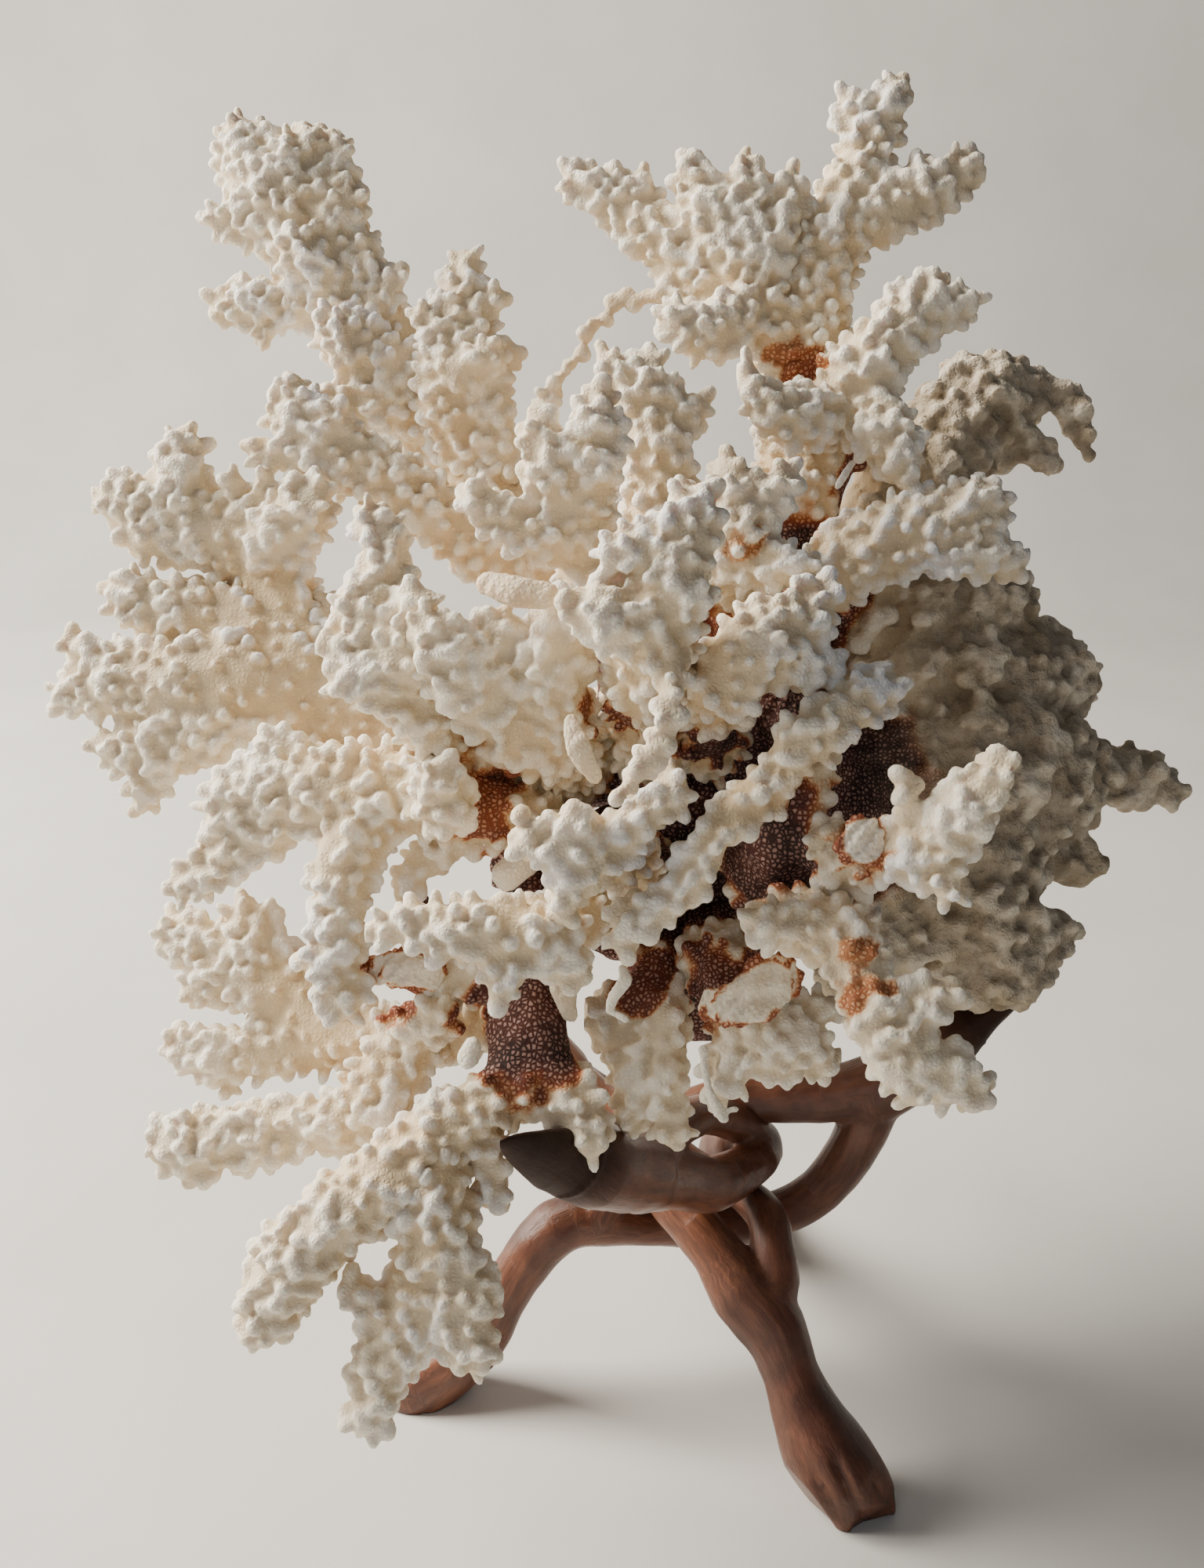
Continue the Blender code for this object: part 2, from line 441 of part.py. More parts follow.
def bake(obj):
    """Leave the object with the mesh that its modifiers give."""
    mesh = evaluated_mesh(obj)
    old = obj.data
    obj.modifiers.clear()
    obj.data = mesh
    bpy.data.meshes.remove(old)


def melt(obj, voxel, smoothing, triangles):
    """Fuse the links into one skin, ease it, and thin it to a triangle count."""
    fuse = obj.modifiers.new("fuse", "REMESH")
    fuse.mode = "VOXEL"
    fuse.voxel_size = voxel
    ease = obj.modifiers.new("ease", "SMOOTH")
    ease.iterations = smoothing
    bake(obj)
    keep_largest(obj.data)
    if triangles is None:
        triangles = max(CORAL_LEAST_TRIANGLES, round(surface_area(obj.data) / CORAL_AREA_PER_TRIANGLE))
    quads = len(obj.data.polygons)
    thin = obj.modifiers.new("thin", "DECIMATE")
    thin.ratio = triangles / (2.0 * quads)
    thin.use_collapse_triangulate = True
    bake(obj)


def surface_area(mesh):
    return sum(face.area for face in mesh.polygons)


def islands(shape):
    """The separate shells of a mesh, as lists of faces."""
    left = set(shape.faces)
    shells = []
    while left:
        start = left.pop()
        shell = [start]
        edge_of_shell = [start]
        while edge_of_shell:
            face = edge_of_shell.pop()
            for edge in face.edges:
                if not edge.is_manifold:
                    continue
                for near in edge.link_faces:
                    if near in left:
                        left.remove(near)
                        shell.append(near)
                        edge_of_shell.append(near)
        shells.append(shell)
    return shells


def keep_largest(mesh):
    """Drop loose crumbs, so that the piece is one closed body."""
    shape = bmesh.new()
    shape.from_mesh(mesh)
    shells = islands(shape)
    if len(shells) > 1:
        largest = max(shells, key=lambda shell: sum(face.calc_area() for face in shell))
        keep = set(largest)
        crumbs = [face for face in shape.faces if face not in keep]
        bmesh.ops.delete(shape, geom=crumbs, context="FACES")
        shape.to_mesh(mesh)
    shape.free()


def cut_flat_below(mesh, height):
    """Saw the mesh off level at a height and close the cut."""
    shape = bmesh.new()
    shape.from_mesh(mesh)
    everything = list(shape.verts) + list(shape.edges) + list(shape.faces)
    cut = bmesh.ops.bisect_plane(shape, geom=everything, dist=1e-4, plane_co=(0, 0, height),
                                 plane_no=(0, 0, 1), clear_inner=True)
    rim = [item for item in cut["geom_cut"] if isinstance(item, bmesh.types.BMEdge)]
    bmesh.ops.contextual_create(shape, geom=rim)
    bmesh.ops.triangulate(shape, faces=list(shape.faces))
    shape.to_mesh(mesh)
    shape.free()


def grown_copy(obj, amount):
    """A guide one clearance larger than the piece, used to cut its neighbours."""
    mesh = obj.data.copy()
    shape = bmesh.new()
    shape.from_mesh(mesh)
    shape.normal_update()
    moves = [vert.normal * amount * min(vert.calc_shell_factor(), FIT_STRETCH) for vert in shape.verts]
    for vert, move in zip(shape.verts, moves):
        vert.co += move
    shape.to_mesh(mesh)
    shape.free()
    guide = bpy.data.objects.new(obj.name + "_guide", mesh)
    guide.hide_render = True
    guide.display_type = "WIRE"
    bpy.context.scene.collection.objects.link(guide)
    return guide


def corners(obj):
    points = [vert.co for vert in obj.data.vertices]
    low = Vector([min(point[axis] for point in points) for axis in range(3)])
    high = Vector([max(point[axis] for point in points) for axis in range(3)])
    return low, high


def boxes_meet(box_a, box_b):
    return all(box_a[0][axis] < box_b[1][axis] and box_b[0][axis] < box_a[1][axis] for axis in range(3))


def cut_by(obj, guide):
    """Take the guide's space out of the piece; where the exact cut comes out empty, cut the other way."""
    for solver in ("EXACT", "MANIFOLD"):
        cut = obj.modifiers.new("fit", "BOOLEAN")
        cut.operation = "DIFFERENCE"
        cut.solver = solver
        cut.object = guide
        result = evaluated_mesh(obj)
        obj.modifiers.clear()
        if len(result.polygons) > 0:
            break
        bpy.data.meshes.remove(result)
    old = obj.data
    obj.data = result
    bpy.data.meshes.remove(old)


def tidy_cut(mesh):
    """Close up slivers left by the cuts."""
    shape = bmesh.new()
    shape.from_mesh(mesh)
    bmesh.ops.remove_doubles(shape, verts=list(shape.verts), dist=WELD)
    bmesh.ops.dissolve_degenerate(shape, edges=list(shape.edges), dist=WELD)
    bmesh.ops.triangulate(shape, faces=list(shape.faces))
    shape.to_mesh(mesh)
    shape.free()


def fit_together(pieces):
    """Each piece gives way to those before it, with a small clearance."""
    guides = []
    for obj in pieces:
        box = corners(obj)
        for guide, guide_box in guides:
            if boxes_meet(box, guide_box):
                cut_by(obj, guide)
        if guides:
            tidy_cut(obj.data)
            keep_largest(obj.data)
        for gap in FIT_GAPS:
            guide = grown_copy(obj, gap)
            guides.append((guide, corners(guide)))
    for guide, _ in guides:
        bpy.data.objects.remove(guide, do_unlink=True)


def new_piece(name, mesh_in_mm, material):
    mesh = bpy.data.meshes.new(name)
    mesh_in_mm.to_mesh(mesh)
    mesh_in_mm.free()
    obj = bpy.data.objects.new(name, mesh)
    bpy.context.scene.collection.objects.link(obj)
    obj["finish"] = material.name
    return obj


def build_stand(material):
    pieces = []
    for name, runs in STAND.items():
        round_runs = [(1.0, points) for points in runs]
        obj = new_piece(name, link_runs(round_runs, stand_point, Vector((0, 0, 1))), material)
        melt(obj, STAND_VOXEL, 4, STAND_TRIANGLES)
        cut_flat_below(obj.data, 0.0)
        pieces.append(obj)
    return pieces


def build_colony(table, material, lumpy=True):
    pieces = []
    draw = random.Random(LUMP_SEED)
    for name, runs in table.items():
        split_runs = [(run[0], run[1:]) for run in runs]
        obj = new_piece(name, link_runs(split_runs, seen_point, SIGHT_TOWARD), material)
        melt(obj, CORAL_VOXEL, 1, None)
        if lumpy:
            raise_lumps(obj.data, draw)
        pieces.append(obj)
    return pieces


def finish_piece(obj, parent):
    """Give the piece its metres, its own origin, its finish and its parent."""
    low, high = corners(obj)
    middle = (low + high) * 0.5
    obj.data.transform(Matrix.Translation(-middle))
    obj.data.transform(Matrix.Scale(MM, 4))
    obj.location = middle * MM
    obj.parent = parent
    obj.data.materials.clear()
    obj.data.materials.append(bpy.data.materials[obj["finish"]])
    del obj["finish"]


def main():
    clear_scene()
    wood = make_material(*WOOD)
    cream = make_material(*CORAL_WHITE)
    brown = make_material(*CORAL_HEART)
    grey = make_material(*CORAL_ROCK)
    stand = build_stand(wood)
    colony = build_colony(HEART, brown, lumpy=False)
    colony += build_colony(ROCK, grey)
    colony += build_colony(BRANCHES, cream)
    fit_together(stand + colony)
    stand_empty = bpy.data.objects.new("stand", None)
    colony_empty = bpy.data.objects.new("colony", None)
    for empty in (stand_empty, colony_empty):
        bpy.context.scene.collection.objects.link(empty)
    for obj in stand:
        finish_piece(obj, stand_empty)
    for obj in colony:
        finish_piece(obj, colony_empty)
    bpy.context.view_layer.update()


main()
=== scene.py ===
"""Looks of a branching coral colony on its carved wooden stand: skins, grain, floor, light and camera.

Lengths in the tables are millimetres. The stand's points are (x, y, z, radius) from the middle of its feet.
The colony's points are (right, up, toward, radius) as an upright view shows them.
"""

import math

import bmesh
import bpy
import numpy as np
from mathutils import Matrix, Vector
from mathutils.kdtree import KDTree

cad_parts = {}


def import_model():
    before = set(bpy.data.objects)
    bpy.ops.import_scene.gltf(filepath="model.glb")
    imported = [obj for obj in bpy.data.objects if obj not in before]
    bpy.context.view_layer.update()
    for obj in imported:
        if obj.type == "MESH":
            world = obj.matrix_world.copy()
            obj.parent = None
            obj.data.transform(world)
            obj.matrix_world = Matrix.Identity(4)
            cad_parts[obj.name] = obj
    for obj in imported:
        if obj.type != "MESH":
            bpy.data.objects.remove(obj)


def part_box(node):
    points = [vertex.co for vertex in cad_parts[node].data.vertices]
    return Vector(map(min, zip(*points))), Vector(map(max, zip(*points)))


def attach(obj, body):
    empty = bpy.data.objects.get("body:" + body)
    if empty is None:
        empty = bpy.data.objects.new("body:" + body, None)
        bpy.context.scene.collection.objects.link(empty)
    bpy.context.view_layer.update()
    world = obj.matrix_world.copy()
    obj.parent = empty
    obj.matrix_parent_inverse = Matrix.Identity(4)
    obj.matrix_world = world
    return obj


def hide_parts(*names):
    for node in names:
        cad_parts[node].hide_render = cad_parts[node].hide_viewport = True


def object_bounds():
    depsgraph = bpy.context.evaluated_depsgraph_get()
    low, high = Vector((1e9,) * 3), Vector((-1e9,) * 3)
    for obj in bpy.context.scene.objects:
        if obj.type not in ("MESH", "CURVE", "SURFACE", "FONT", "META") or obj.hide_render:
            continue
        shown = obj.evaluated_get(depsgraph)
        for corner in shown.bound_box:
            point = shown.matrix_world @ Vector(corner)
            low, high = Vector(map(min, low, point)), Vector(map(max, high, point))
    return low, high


MM = 0.001

# Placing, as in the model of the shape
STAND_MIDDLE = (5.2, -8.0)
SIGHT_OFFSET = -21.0
SIGHT_DISTANCE = 400.0
SIGHT_PITCH = math.radians(20.0)
SIGHT_HEIGHT = 183.6

STAND = {
    "stand_left_leg": (
        ((-75, -10, 2, 10), (-68, -9, 8, 10.5), (-58, -8, 17, 9.5), (-49, -7, 31, 7), (-42, -5, 43, 7.4),
         (-34, -3, 52, 7.8), (-24, -1, 53, 7.2), (-12, 1, 50, 6.6), (0, 5, 47, 6.5), (16, 8, 45, 6.5),
         (31, 9, 48, 6.5), (42, 9, 56, 6.5), (50, 8, 70, 7), (55, 8, 86, 8)),
        ((-22, -1, 55, 7), (-15, 3, 66, 6), (-4, 8, 78, 6), (10, 10, 84, 6.5), (26, 10, 86, 7),
         (42, 9, 87, 8), (56, 8, 91, 9)),
        ((55, 8, 89, 9.5), (68, 9, 98, 9.5), (80, 11, 108, 8.5), (92, 12, 119, 6.5), (100, 13, 126, 4),
         (107, 13, 133, 1.2)),
    ),
    "stand_front_leg": (
        ((46, -52, 2, 10.5), (41, -50, 9, 12), (35, -45, 18, 10.5), (29, -38, 31, 7.5), (24, -32, 42, 9),
         (16.5, -28, 49, 9), (11, -23, 56, 7)),
        ((11, -23, 56, 7), (4, -16, 61.5, 6.5), (-3, -9, 65.5, 6), (-7, 0, 72, 6), (-12, 8, 79, 6.5),
         (-21, 14, 80, 7), (-32, 22, 84, 8.5)),
        ((22, -30, 46, 8), (26, -26, 52, 6.3), (25, -21, 58, 5.8), (24, -12, 62, 5.3), (17, 1, 61.5, 5),
         (6, 13, 61, 5), (-7, 22, 66, 5.5), (-20, 27, 74, 6.5), (-32, 26, 82, 8)),
        ((-33, 23, 85, 9.5), (-46, 33, 94, 9.5), (-58, 42, 104, 8.5), (-68, 50, 115, 6.5),
         (-76, 56, 125, 4), (-81, 60, 133, 1.2)),
    ),
    "stand_rear_leg": (
        ((30, 73, 2, 10), (26, 64, 8, 10.5), (23, 56, 17, 10), (20, 46, 31, 7.5), (17, 38, 43, 8.5),
         (16, 28, 56, 8.5), (19, 18, 66, 7)),
        ((20, 17, 67, 6.5), (24, 9, 71, 6.5), (23, 0, 72.5, 6), (16, -10, 74, 6.5), (7, -20, 77, 7.5),
         (-3, -33, 88, 8), (-12, -46, 97, 9)),
        ((24, 8, 73, 6), (16, 0, 84, 5), (5, -12, 94, 5), (-4, -28, 99, 6), (-11, -42, 101, 8)),
        ((-12, -46, 99, 10), (-20, -59, 109, 10.5), (-27, -72, 119, 9.5), (-33, -83, 128, 7),
         (-38, -91, 135, 4), (-42, -98, 141, 1.2)),
    ),
}

HEART = {
    "coral_heart": (
        (1.0, (24, -50, 4, 16), (26, -20, 2, 23), (22, 20, -4, 23), (12, 48, -10, 17)),
        (1.0, (26, -10, 0, 22), (58, -4, -22, 20)),
        (1.0, (22, 20, 0, 18), (44, 52, -12, 15)),
        (1.0, (20, 10, 0, 18), (-14, 4, 6, 12)),
        (1.0, (24, -40, 0, 16), (0, -32, 14, 11)),
    ),
}

ROCK = {
    "rocky_side_body": (
        (0.9, (60, 0, -26, 22), (84, 4, -34, 29), (104, 2, -36, 25), (114, 2, -36, 15)),
        (0.9, (76, 30, -30, 22), (94, 26, -36, 23), (112, 26, -38, 15), (121, 26, -38, 9)),
        (0.9, (86, -6, -32, 27), (92, -34, -28, 23), (104, -44, -26, 14), (113, -38, -28, 9)),
        (0.9, (112, 4, -38, 12), (128, 3, -42, 10), (138, 1, -44, 9), (145, -2, -44, 6)),
        (0.9, (110, -16, -32, 10), (120, -19, -32, 6), (126, -19, -32, 4)),
        (0.9, (84, 44, -28, 16), (100, 46, -32, 12)),
        (0.9, (72, -34, -22, 18), (64, -50, -12, 12)),
    ),
    "rocky_side_upper": (
        (0.9, (62, 44, -24, 15), (74, 66, -34, 17), (86, 84, -42, 16), (94, 96, -44, 14),
         (102, 103, -44, 9)),
        (0.9, (98, 94, -44, 10), (110, 99, -46, 8), (119, 97, -46, 6), (122, 90, -46, 5),
         (124, 85, -46, 3.5)),
        (0.9, (100, 88, -44, 9), (108, 86, -44, 7), (114, 81, -44, 4.5)),
    ),
}

BRANCHES = {
    "branch_left_middle": (
        (0.6, (-10, 2, 10, 11), (-30, 2, 16, 11), (-48, 6, 20, 12), (-62, 12, 20, 13), (-74, 24, 20, 13),
         (-86, 36, 18, 12), (-102, 43, 16, 11), (-118, 46, 16, 9), (-124, 51, 16, 6)),
        (0.7, (-74, 22, 20, 12), (-92, 26, 22, 14), (-110, 25, 22, 13), (-126, 26, 20, 10),
         (-136, 22, 18, 6)),
        (0.8, (-122, 28, 20, 8), (-131, 33, 20, 6), (-136, 37, 20, 4)),
        (0.8, (-98, 18, 22, 12), (-112, 10, 22, 10), (-122, 9, 22, 7), (-128, 10, 22, 5)),
        (0.8, (-112, 8, 22, 8), (-116, 0, 22, 7), (-118, -7, 22, 4)),
        (1.0, (-94, 14, 24, 6), (-102, 8, 24, 5), (-105, 6, 24, 4)),
        (0.7, (-68, 28, 18, 10), (-70, 42, 18, 6), (-71, 47, 18, 3)),
    ),
    "branch_left_upper": (
        (0.7, (-76, 32, 18, 11), (-82, 46, 16, 11), (-88, 58, 14, 12), (-104, 68, 14, 11),
         (-118, 72, 14, 9), (-125, 72, 14, 7)),
        (0.8, (-106, 70, 14, 9), (-107, 80, 14, 8), (-106, 88, 14, 6.5)),
        (0.8, (-86, 58, 16, 10), (-78, 68, 20, 10), (-73, 72, 22, 7)),
        (0.8, (-116, 70, 14, 9), (-117, 62, 16, 7)),
        (1.0, (-92, 66, 16, 6), (-94, 77, 18, 3.5)),
        (1.0, (-88, 66, 18, 5), (-86, 78, 20, 3)),
        (1.0, (-104, 62, 14, 7), (-110, 58, 14, 4)),
    ),
    "branch_left_inner": (
        (0.7, (-14, 4, 20, 11), (-32, 10, 44, 11), (-46, 22, 56, 12), (-56, 34, 60, 13),
         (-58, 44, 60, 12)),
        (0.8, (-58, 42, 60, 9), (-55, 56, 58, 8), (-58, 68, 56, 7)),
        (0.8, (-54, 34, 62, 10), (-68, 36, 62, 6)),
        (0.8, (-50, 32, 64, 10), (-46, 46, 66, 7)),
        (0.8, (-56, 26, 62, 9), (-66, 26, 64, 6)),
    ),
    "branch_left_lower": (
        (0.75, (2, -20, 24, 10), (-16, -10, 38, 10), (-32, -6, 44, 11), (-48, -3, 48, 12),
         (-64, -1, 46, 13), (-80, -2, 42, 12), (-92, -4, 40, 10), (-95, -8, 40, 8)),
        (0.8, (-84, -8, 40, 10), (-96, -18, 38, 8), (-104, -24, 36, 7), (-107, -27, 36, 5)),
        (0.8, (-46, -3, 50, 10), (-40, -4, 62, 9), (-42, 2, 66, 6)),
        (0.8, (-76, 4, 42, 9), (-84, 8, 42, 6)),
        (0.8, (-60, -10, 48, 10), (-66, -20, 50, 10), (-66, -32, 50, 9), (-68, -44, 50, 9),
         (-66, -54, 50, 8)),
        (1.0, (-68, -38, 50, 6), (-75, -44, 50, 4)),
        (0.6, (-34, -10, 40, 8), (-46, -20, 38, 8), (-52, -28, 38, 4)),
    ),
    "branch_bottom_left": (
        (0.9, (6, -34, 18, 10), (-10, -32, 32, 10), (-17, -46, 40, 11), (-20, -58, 44, 12),
         (-18, -70, 48, 13), (-22, -78, 50, 11), (-34, -84, 52, 10), (-44, -92, 54, 11),
         (-56, -102, 56, 12), (-70, -112, 56, 12), (-80, -124, 56, 12), (-86, -136, 56, 9)),
        (0.8, (-14, -74, 50, 11), (-6, -84, 54, 9), (-3, -91, 56, 7)),
        (0.8, (-34, -88, 52, 8), (-29, -98, 52, 7), (-27, -106, 52, 5)),
        (0.9, (-20, -54, 44, 9), (-34, -49, 42, 9), (-48, -48, 40, 8), (-58, -48, 38, 5)),
    ),
    "branch_bottom_left_drop": (
        (0.8, (-44, -94, 54, 11), (-42, -110, 56, 12), (-44, -124, 56, 12), (-50, -138, 56, 10),
         (-57, -150, 56, 9), (-60, -160, 56, 7)),
        (0.8, (-42, -118, 56, 11), (-36, -132, 58, 11), (-34, -145, 58, 8)),
        (0.8, (-50, -132, 56, 5), (-57, -135, 56, 5), (-62, -130, 56, 4), (-65, -126, 56, 3)),
    ),
    "branch_lower_left_fan": (
        (0.7, (-24, -58, 34, 9), (-42, -64, 26, 9), (-58, -66, 20, 10), (-70, -60, 16, 11),
         (-82, -52, 12, 12), (-96, -44, 10, 11), (-108, -38, 8, 8)),
        (0.8, (-84, -48, 12, 9), (-90, -36, 12, 8), (-91, -31, 12, 5)),
        (0.8, (-94, -48, 10, 9), (-104, -53, 10, 6)),
        (0.7, (-68, -66, 16, 9), (-86, -68, 14, 9), (-100, -70, 14, 8), (-108, -66, 14, 5)),
        (0.8, (-94, -70, 14, 6), (-95, -78, 14, 3)),
        (0.6, (-70, -62, 16, 11), (-78, -66, 14, 8)),
    ),
    "branch_lower_left_finger": (
        (0.8, (-44, -62, 30, 9), (-52, -70, 34, 10), (-60, -82, 36, 11), (-68, -86, 36, 9),
         (-82, -88, 34, 9), (-98, -91, 34, 10), (-108, -92, 34, 9)),
        (0.8, (-100, -94, 34, 7), (-104, -100, 34, 5)),
        (0.8, (-58, -84, 38, 9), (-52, -92, 38, 6)),
        (0.8, (-50, -64, 36, 8), (-40, -58, 46, 7)),
    ),
    "branch_upper_left": (
        (0.75, (8, 46, -10, 12), (-10, 60, -14, 12), (-26, 74, -16, 12), (-40, 92, -18, 13),
         (-56, 110, -20, 13), (-66, 126, -20, 13), (-74, 142, -20, 15)),
        (0.8, (-74, 142, -20, 15), (-84, 152, -20, 13), (-92, 164, -20, 8)),
        (0.8, (-80, 154, -20, 13), (-72, 162, -18, 8), (-67, 161, -16, 4)),
        (0.8, (-72, 150, -20, 12), (-66, 148, -14, 7)),
        (0.8, (-80, 146, -20, 13), (-90, 144, -18, 8), (-98, 144, -18, 4.5)),
        (0.8, (-68, 126, -20, 10), (-84, 123, -20, 8), (-96, 122, -22, 6.5)),
        (1.0, (-86, 120, -20, 5), (-87, 110, -20, 3)),
        (0.8, (-64, 128, -18, 10), (-77, 136, -12, 8)),
        (1.0, (-61, 128, -14, 5), (-60, 139, -12, 2.5)),
        (1.0, (-58, 122, -14, 6), (-51, 130, -12, 3)),
        (0.8, (-52, 104, -14, 10), (-64, 112, -8, 9), (-69, 117, -6, 6)),
        (0.8, (-54, 98, -14, 10), (-70, 95, -8, 7)),
    ),
    "branch_upper_left_side": (
        (0.8, (-34, 84, -14, 10), (-38, 100, -8, 11), (-36, 116, -6, 10), (-36, 126, -6, 7),
         (-35, 134, -6, 5)),
        (1.0, (-34, 118, -6, 6), (-27, 124, -4, 4)),
        (1.0, (-40, 112, -4, 7), (-46, 120, -2, 4)),
        (1.0, (-36, 106, -2, 8), (-28, 110, 2, 5)),
        (0.9, (-22, 74, -12, 6), (-26, 88, -8, 5), (-26, 100, -6, 4.5), (-23, 110, -4, 4)),
    ),
    "branch_left_high": (
        (0.75, (-8, 52, 0, 10), (-24, 58, 4, 10), (-36, 64, 8, 10), (-50, 74, 12, 10), (-66, 84, 14, 10),
         (-77, 94, 14, 9), (-79, 102, 14, 5)),
        (0.8, (-72, 86, 14, 8), (-82, 84, 16, 6), (-90, 86, 16, 4)),
        (0.8, (-66, 86, 14, 8), (-68, 94, 18, 5)),
        (0.8, (-74, 84, 14, 9), (-82, 94, 16, 6)),
    ),
    "branch_centre_left_blade": (
        (0.6, (-6, 6, 24, 12), (-16, 14, 50, 14), (-28, 24, 62, 14), (-38, 32, 68, 11), (-45, 39, 70, 8)),
        (0.7, (-14, 14, 54, 13), (-12, 32, 66, 12), (-10, 43, 68, 8)),
        (0.7, (-24, 26, 62, 12), (-26, 40, 68, 8)),
    ),
    "branch_centre_left_lower": (
        (0.8, (8, -28, 30, 9), (-4, -32, 56, 9), (-14, -38, 70, 11), (-26, -38, 74, 11),
         (-40, -37, 74, 10), (-52, -36, 72, 7), (-56, -37, 72, 5)),
        (0.8, (-22, -44, 74, 8), (-26, -52, 74, 6)),
        (0.8, (-12, -42, 72, 9), (-8, -48, 72, 6)),
    ),
    "branch_centre_left_upper": (
        (0.8, (20, -22, 26, 9), (10, -22, 50, 9), (4, -18, 72, 9), (-6, -15, 80, 9), (-14, -16, 82, 7),
         (-23, -14, 82, 4.5)),
        (0.8, (4, -14, 78, 8), (16, -3, 80, 8), (18, 2, 80, 5)),
        (0.8, (-2, -20, 80, 8), (-8, -28, 80, 7), (-10, -34, 78, 5)),
        (1.0, (-16, -14, 82, 5), (-20, -7, 84, 3)),
        (1.0, (-6, -12, 82, 6), (-9, -5, 84, 3)),
    ),
    "branch_diagonal": (
        (0.75, (36, -18, 30, 9), (40, -8, 58, 8.5), (42, -1, 74, 8), (35, -7, 78, 7), (29, -13, 79, 6.5),
         (26, -21, 78, 6.5), (19, -28, 77, 7), (10, -32, 76, 7.5), (6, -36, 77, 6), (5, -42, 76, 4.5)),
        (0.75, (42, -1, 74, 8), (51, 9, 78, 8.5), (62, 18, 75, 9), (72, 25, 68, 7.5)),
    ),
    "branch_right_front": (
        (0.9, (34, -14, 20, 12), (42, -20, 44, 13), (47, -14, 58, 13), (50, -4, 64, 11), (54, 5, 64, 9)),
        (0.9, (52, -16, 62, 9), (60, -16, 72, 9), (66, -15, 78, 8.5)),
        (0.8, (60, -20, 66, 9), (72, -18, 78, 9), (84, -15, 86, 10), (93, -6, 92, 8.5), (101, 3, 94, 8.5)),
        (0.8, (80, -12, 86, 6), (78, -2, 90, 5), (78, 3, 90, 4)),
        (0.8, (84, -18, 86, 9), (88, -26, 88, 7)),
    ),
    "branch_right_lower": (
        (0.9, (44, -26, 44, 12), (50, -34, 60, 11), (60, -39, 74, 11), (66, -50, 78, 9), (71, -60, 80, 10),
         (78, -68, 80, 10)),
        (0.8, (50, -34, 64, 9), (44, -35, 72, 8), (40, -33, 74, 5)),
        (0.8, (74, -60, 80, 8), (84, -55, 80, 8), (89, -54, 80, 6)),
        (0.8, (78, -68, 80, 9), (86, -72, 80, 9), (94, -78, 78, 8)),
        (0.8, (76, -70, 80, 9), (80, -78, 80, 7)),
    ),
    "branch_bottom_fingers": (
        (0.9, (20, -40, 16, 11), (14, -48, 30, 9), (8, -60, 36, 8), (7, -76, 38, 7), (7, -86, 38, 5.5)),
        (0.9, (16, -50, 30, 8), (16, -62, 40, 8), (16, -76, 42, 7), (18, -89, 42, 6.5)),
        (0.9, (6, -52, 32, 7), (0, -58, 34, 6), (-1, -66, 34, 5)),
    ),
    "branch_bottom_broken": (
        (0.9, (28, -38, 18, 12), (30, -46, 38, 11), (36, -54, 48, 11)),
        (0.8, (32, -54, 44, 10), (40, -64, 48, 11), (50, -68, 48, 9), (57, -70, 46, 6)),
        (0.8, (36, -62, 48, 9), (32, -72, 48, 8), (30, -78, 48, 5)),
        (0.8, (46, -62, 46, 9), (56, -58, 44, 6)),
    ),
    "branch_centre_top_left": (
        (0.8, (8, 36, 14, 11), (2, 48, 34, 11), (-4, 60, 44, 11), (-8, 72, 50, 10), (-14, 82, 54, 9),
         (-17, 92, 54, 6)),
        (0.8, (-6, 70, 50, 9), (-3, 84, 54, 9), (-1, 94, 54, 7), (-1, 100, 54, 4.5)),
        (0.8, (-4, 62, 46, 9), (-18, 64, 52, 8), (-28, 70, 54, 7), (-33, 73, 54, 5)),
    ),
    "branch_centre_top_middle": (
        (0.8, (14, 46, 6, 11), (14, 62, 20, 10), (15, 80, 28, 10), (14, 94, 30, 9), (12, 106, 30, 6)),
        (0.8, (14, 88, 30, 8), (24, 97, 30, 6)),
        (0.8, (12, 92, 30, 8), (3, 104, 30, 6), (0, 110, 30, 4)),
    ),
    "branch_centre_front": (
        (0.8, (14, 8, 24, 12), (12, 22, 58, 12), (14, 40, 82, 13), (18, 56, 88, 13), (22, 66, 88, 10),
         (25, 73, 86, 7)),
        (0.8, (10, 42, 86, 11), (0, 44, 90, 9), (-8, 46, 90, 6)),
        (0.8, (18, 58, 88, 10), (6, 60, 90, 8)),
        (1.0, (18, 34, 88, 6), (17, 18, 92, 4), (12, 6, 91, 4), (5, -2, 89, 3.5)),
    ),
    "branch_centre_top_right": (
        (0.8, (34, 34, 14, 11), (36, 48, 44, 10), (36, 60, 56, 10), (34, 74, 58, 9), (32, 83, 56, 6)),
        (0.8, (38, 66, 58, 8), (44, 76, 58, 6), (46, 80, 56, 4)),
        (0.8, (38, 58, 58, 8), (48, 54, 60, 7), (54, 55, 60, 5)),
    ),
    "branch_centre_blade": (
        (0.55, (26, 8, 22, 11), (29, 20, 58, 10), (32, 28, 73, 12), (42, 36, 74, 13), (52, 44, 70, 9),
         (57, 50, 66, 6)),
        (0.6, (40, 34, 74, 11), (52, 30, 72, 8), (58, 28, 70, 5)),
    ),
    "branch_upper_right": (
        (0.8, (36, 46, -10, 14), (46, 62, -6, 14), (52, 80, 0, 14), (54, 98, 4, 13), (52, 114, 4, 12),
         (54, 130, 4, 11), (62, 145, 4, 10), (66, 158, 4, 9), (72, 170, 4, 7), (76, 177, 4, 5)),
        (0.8, (66, 158, 4, 7), (64, 170, 4, 6), (63, 174, 4, 4)),
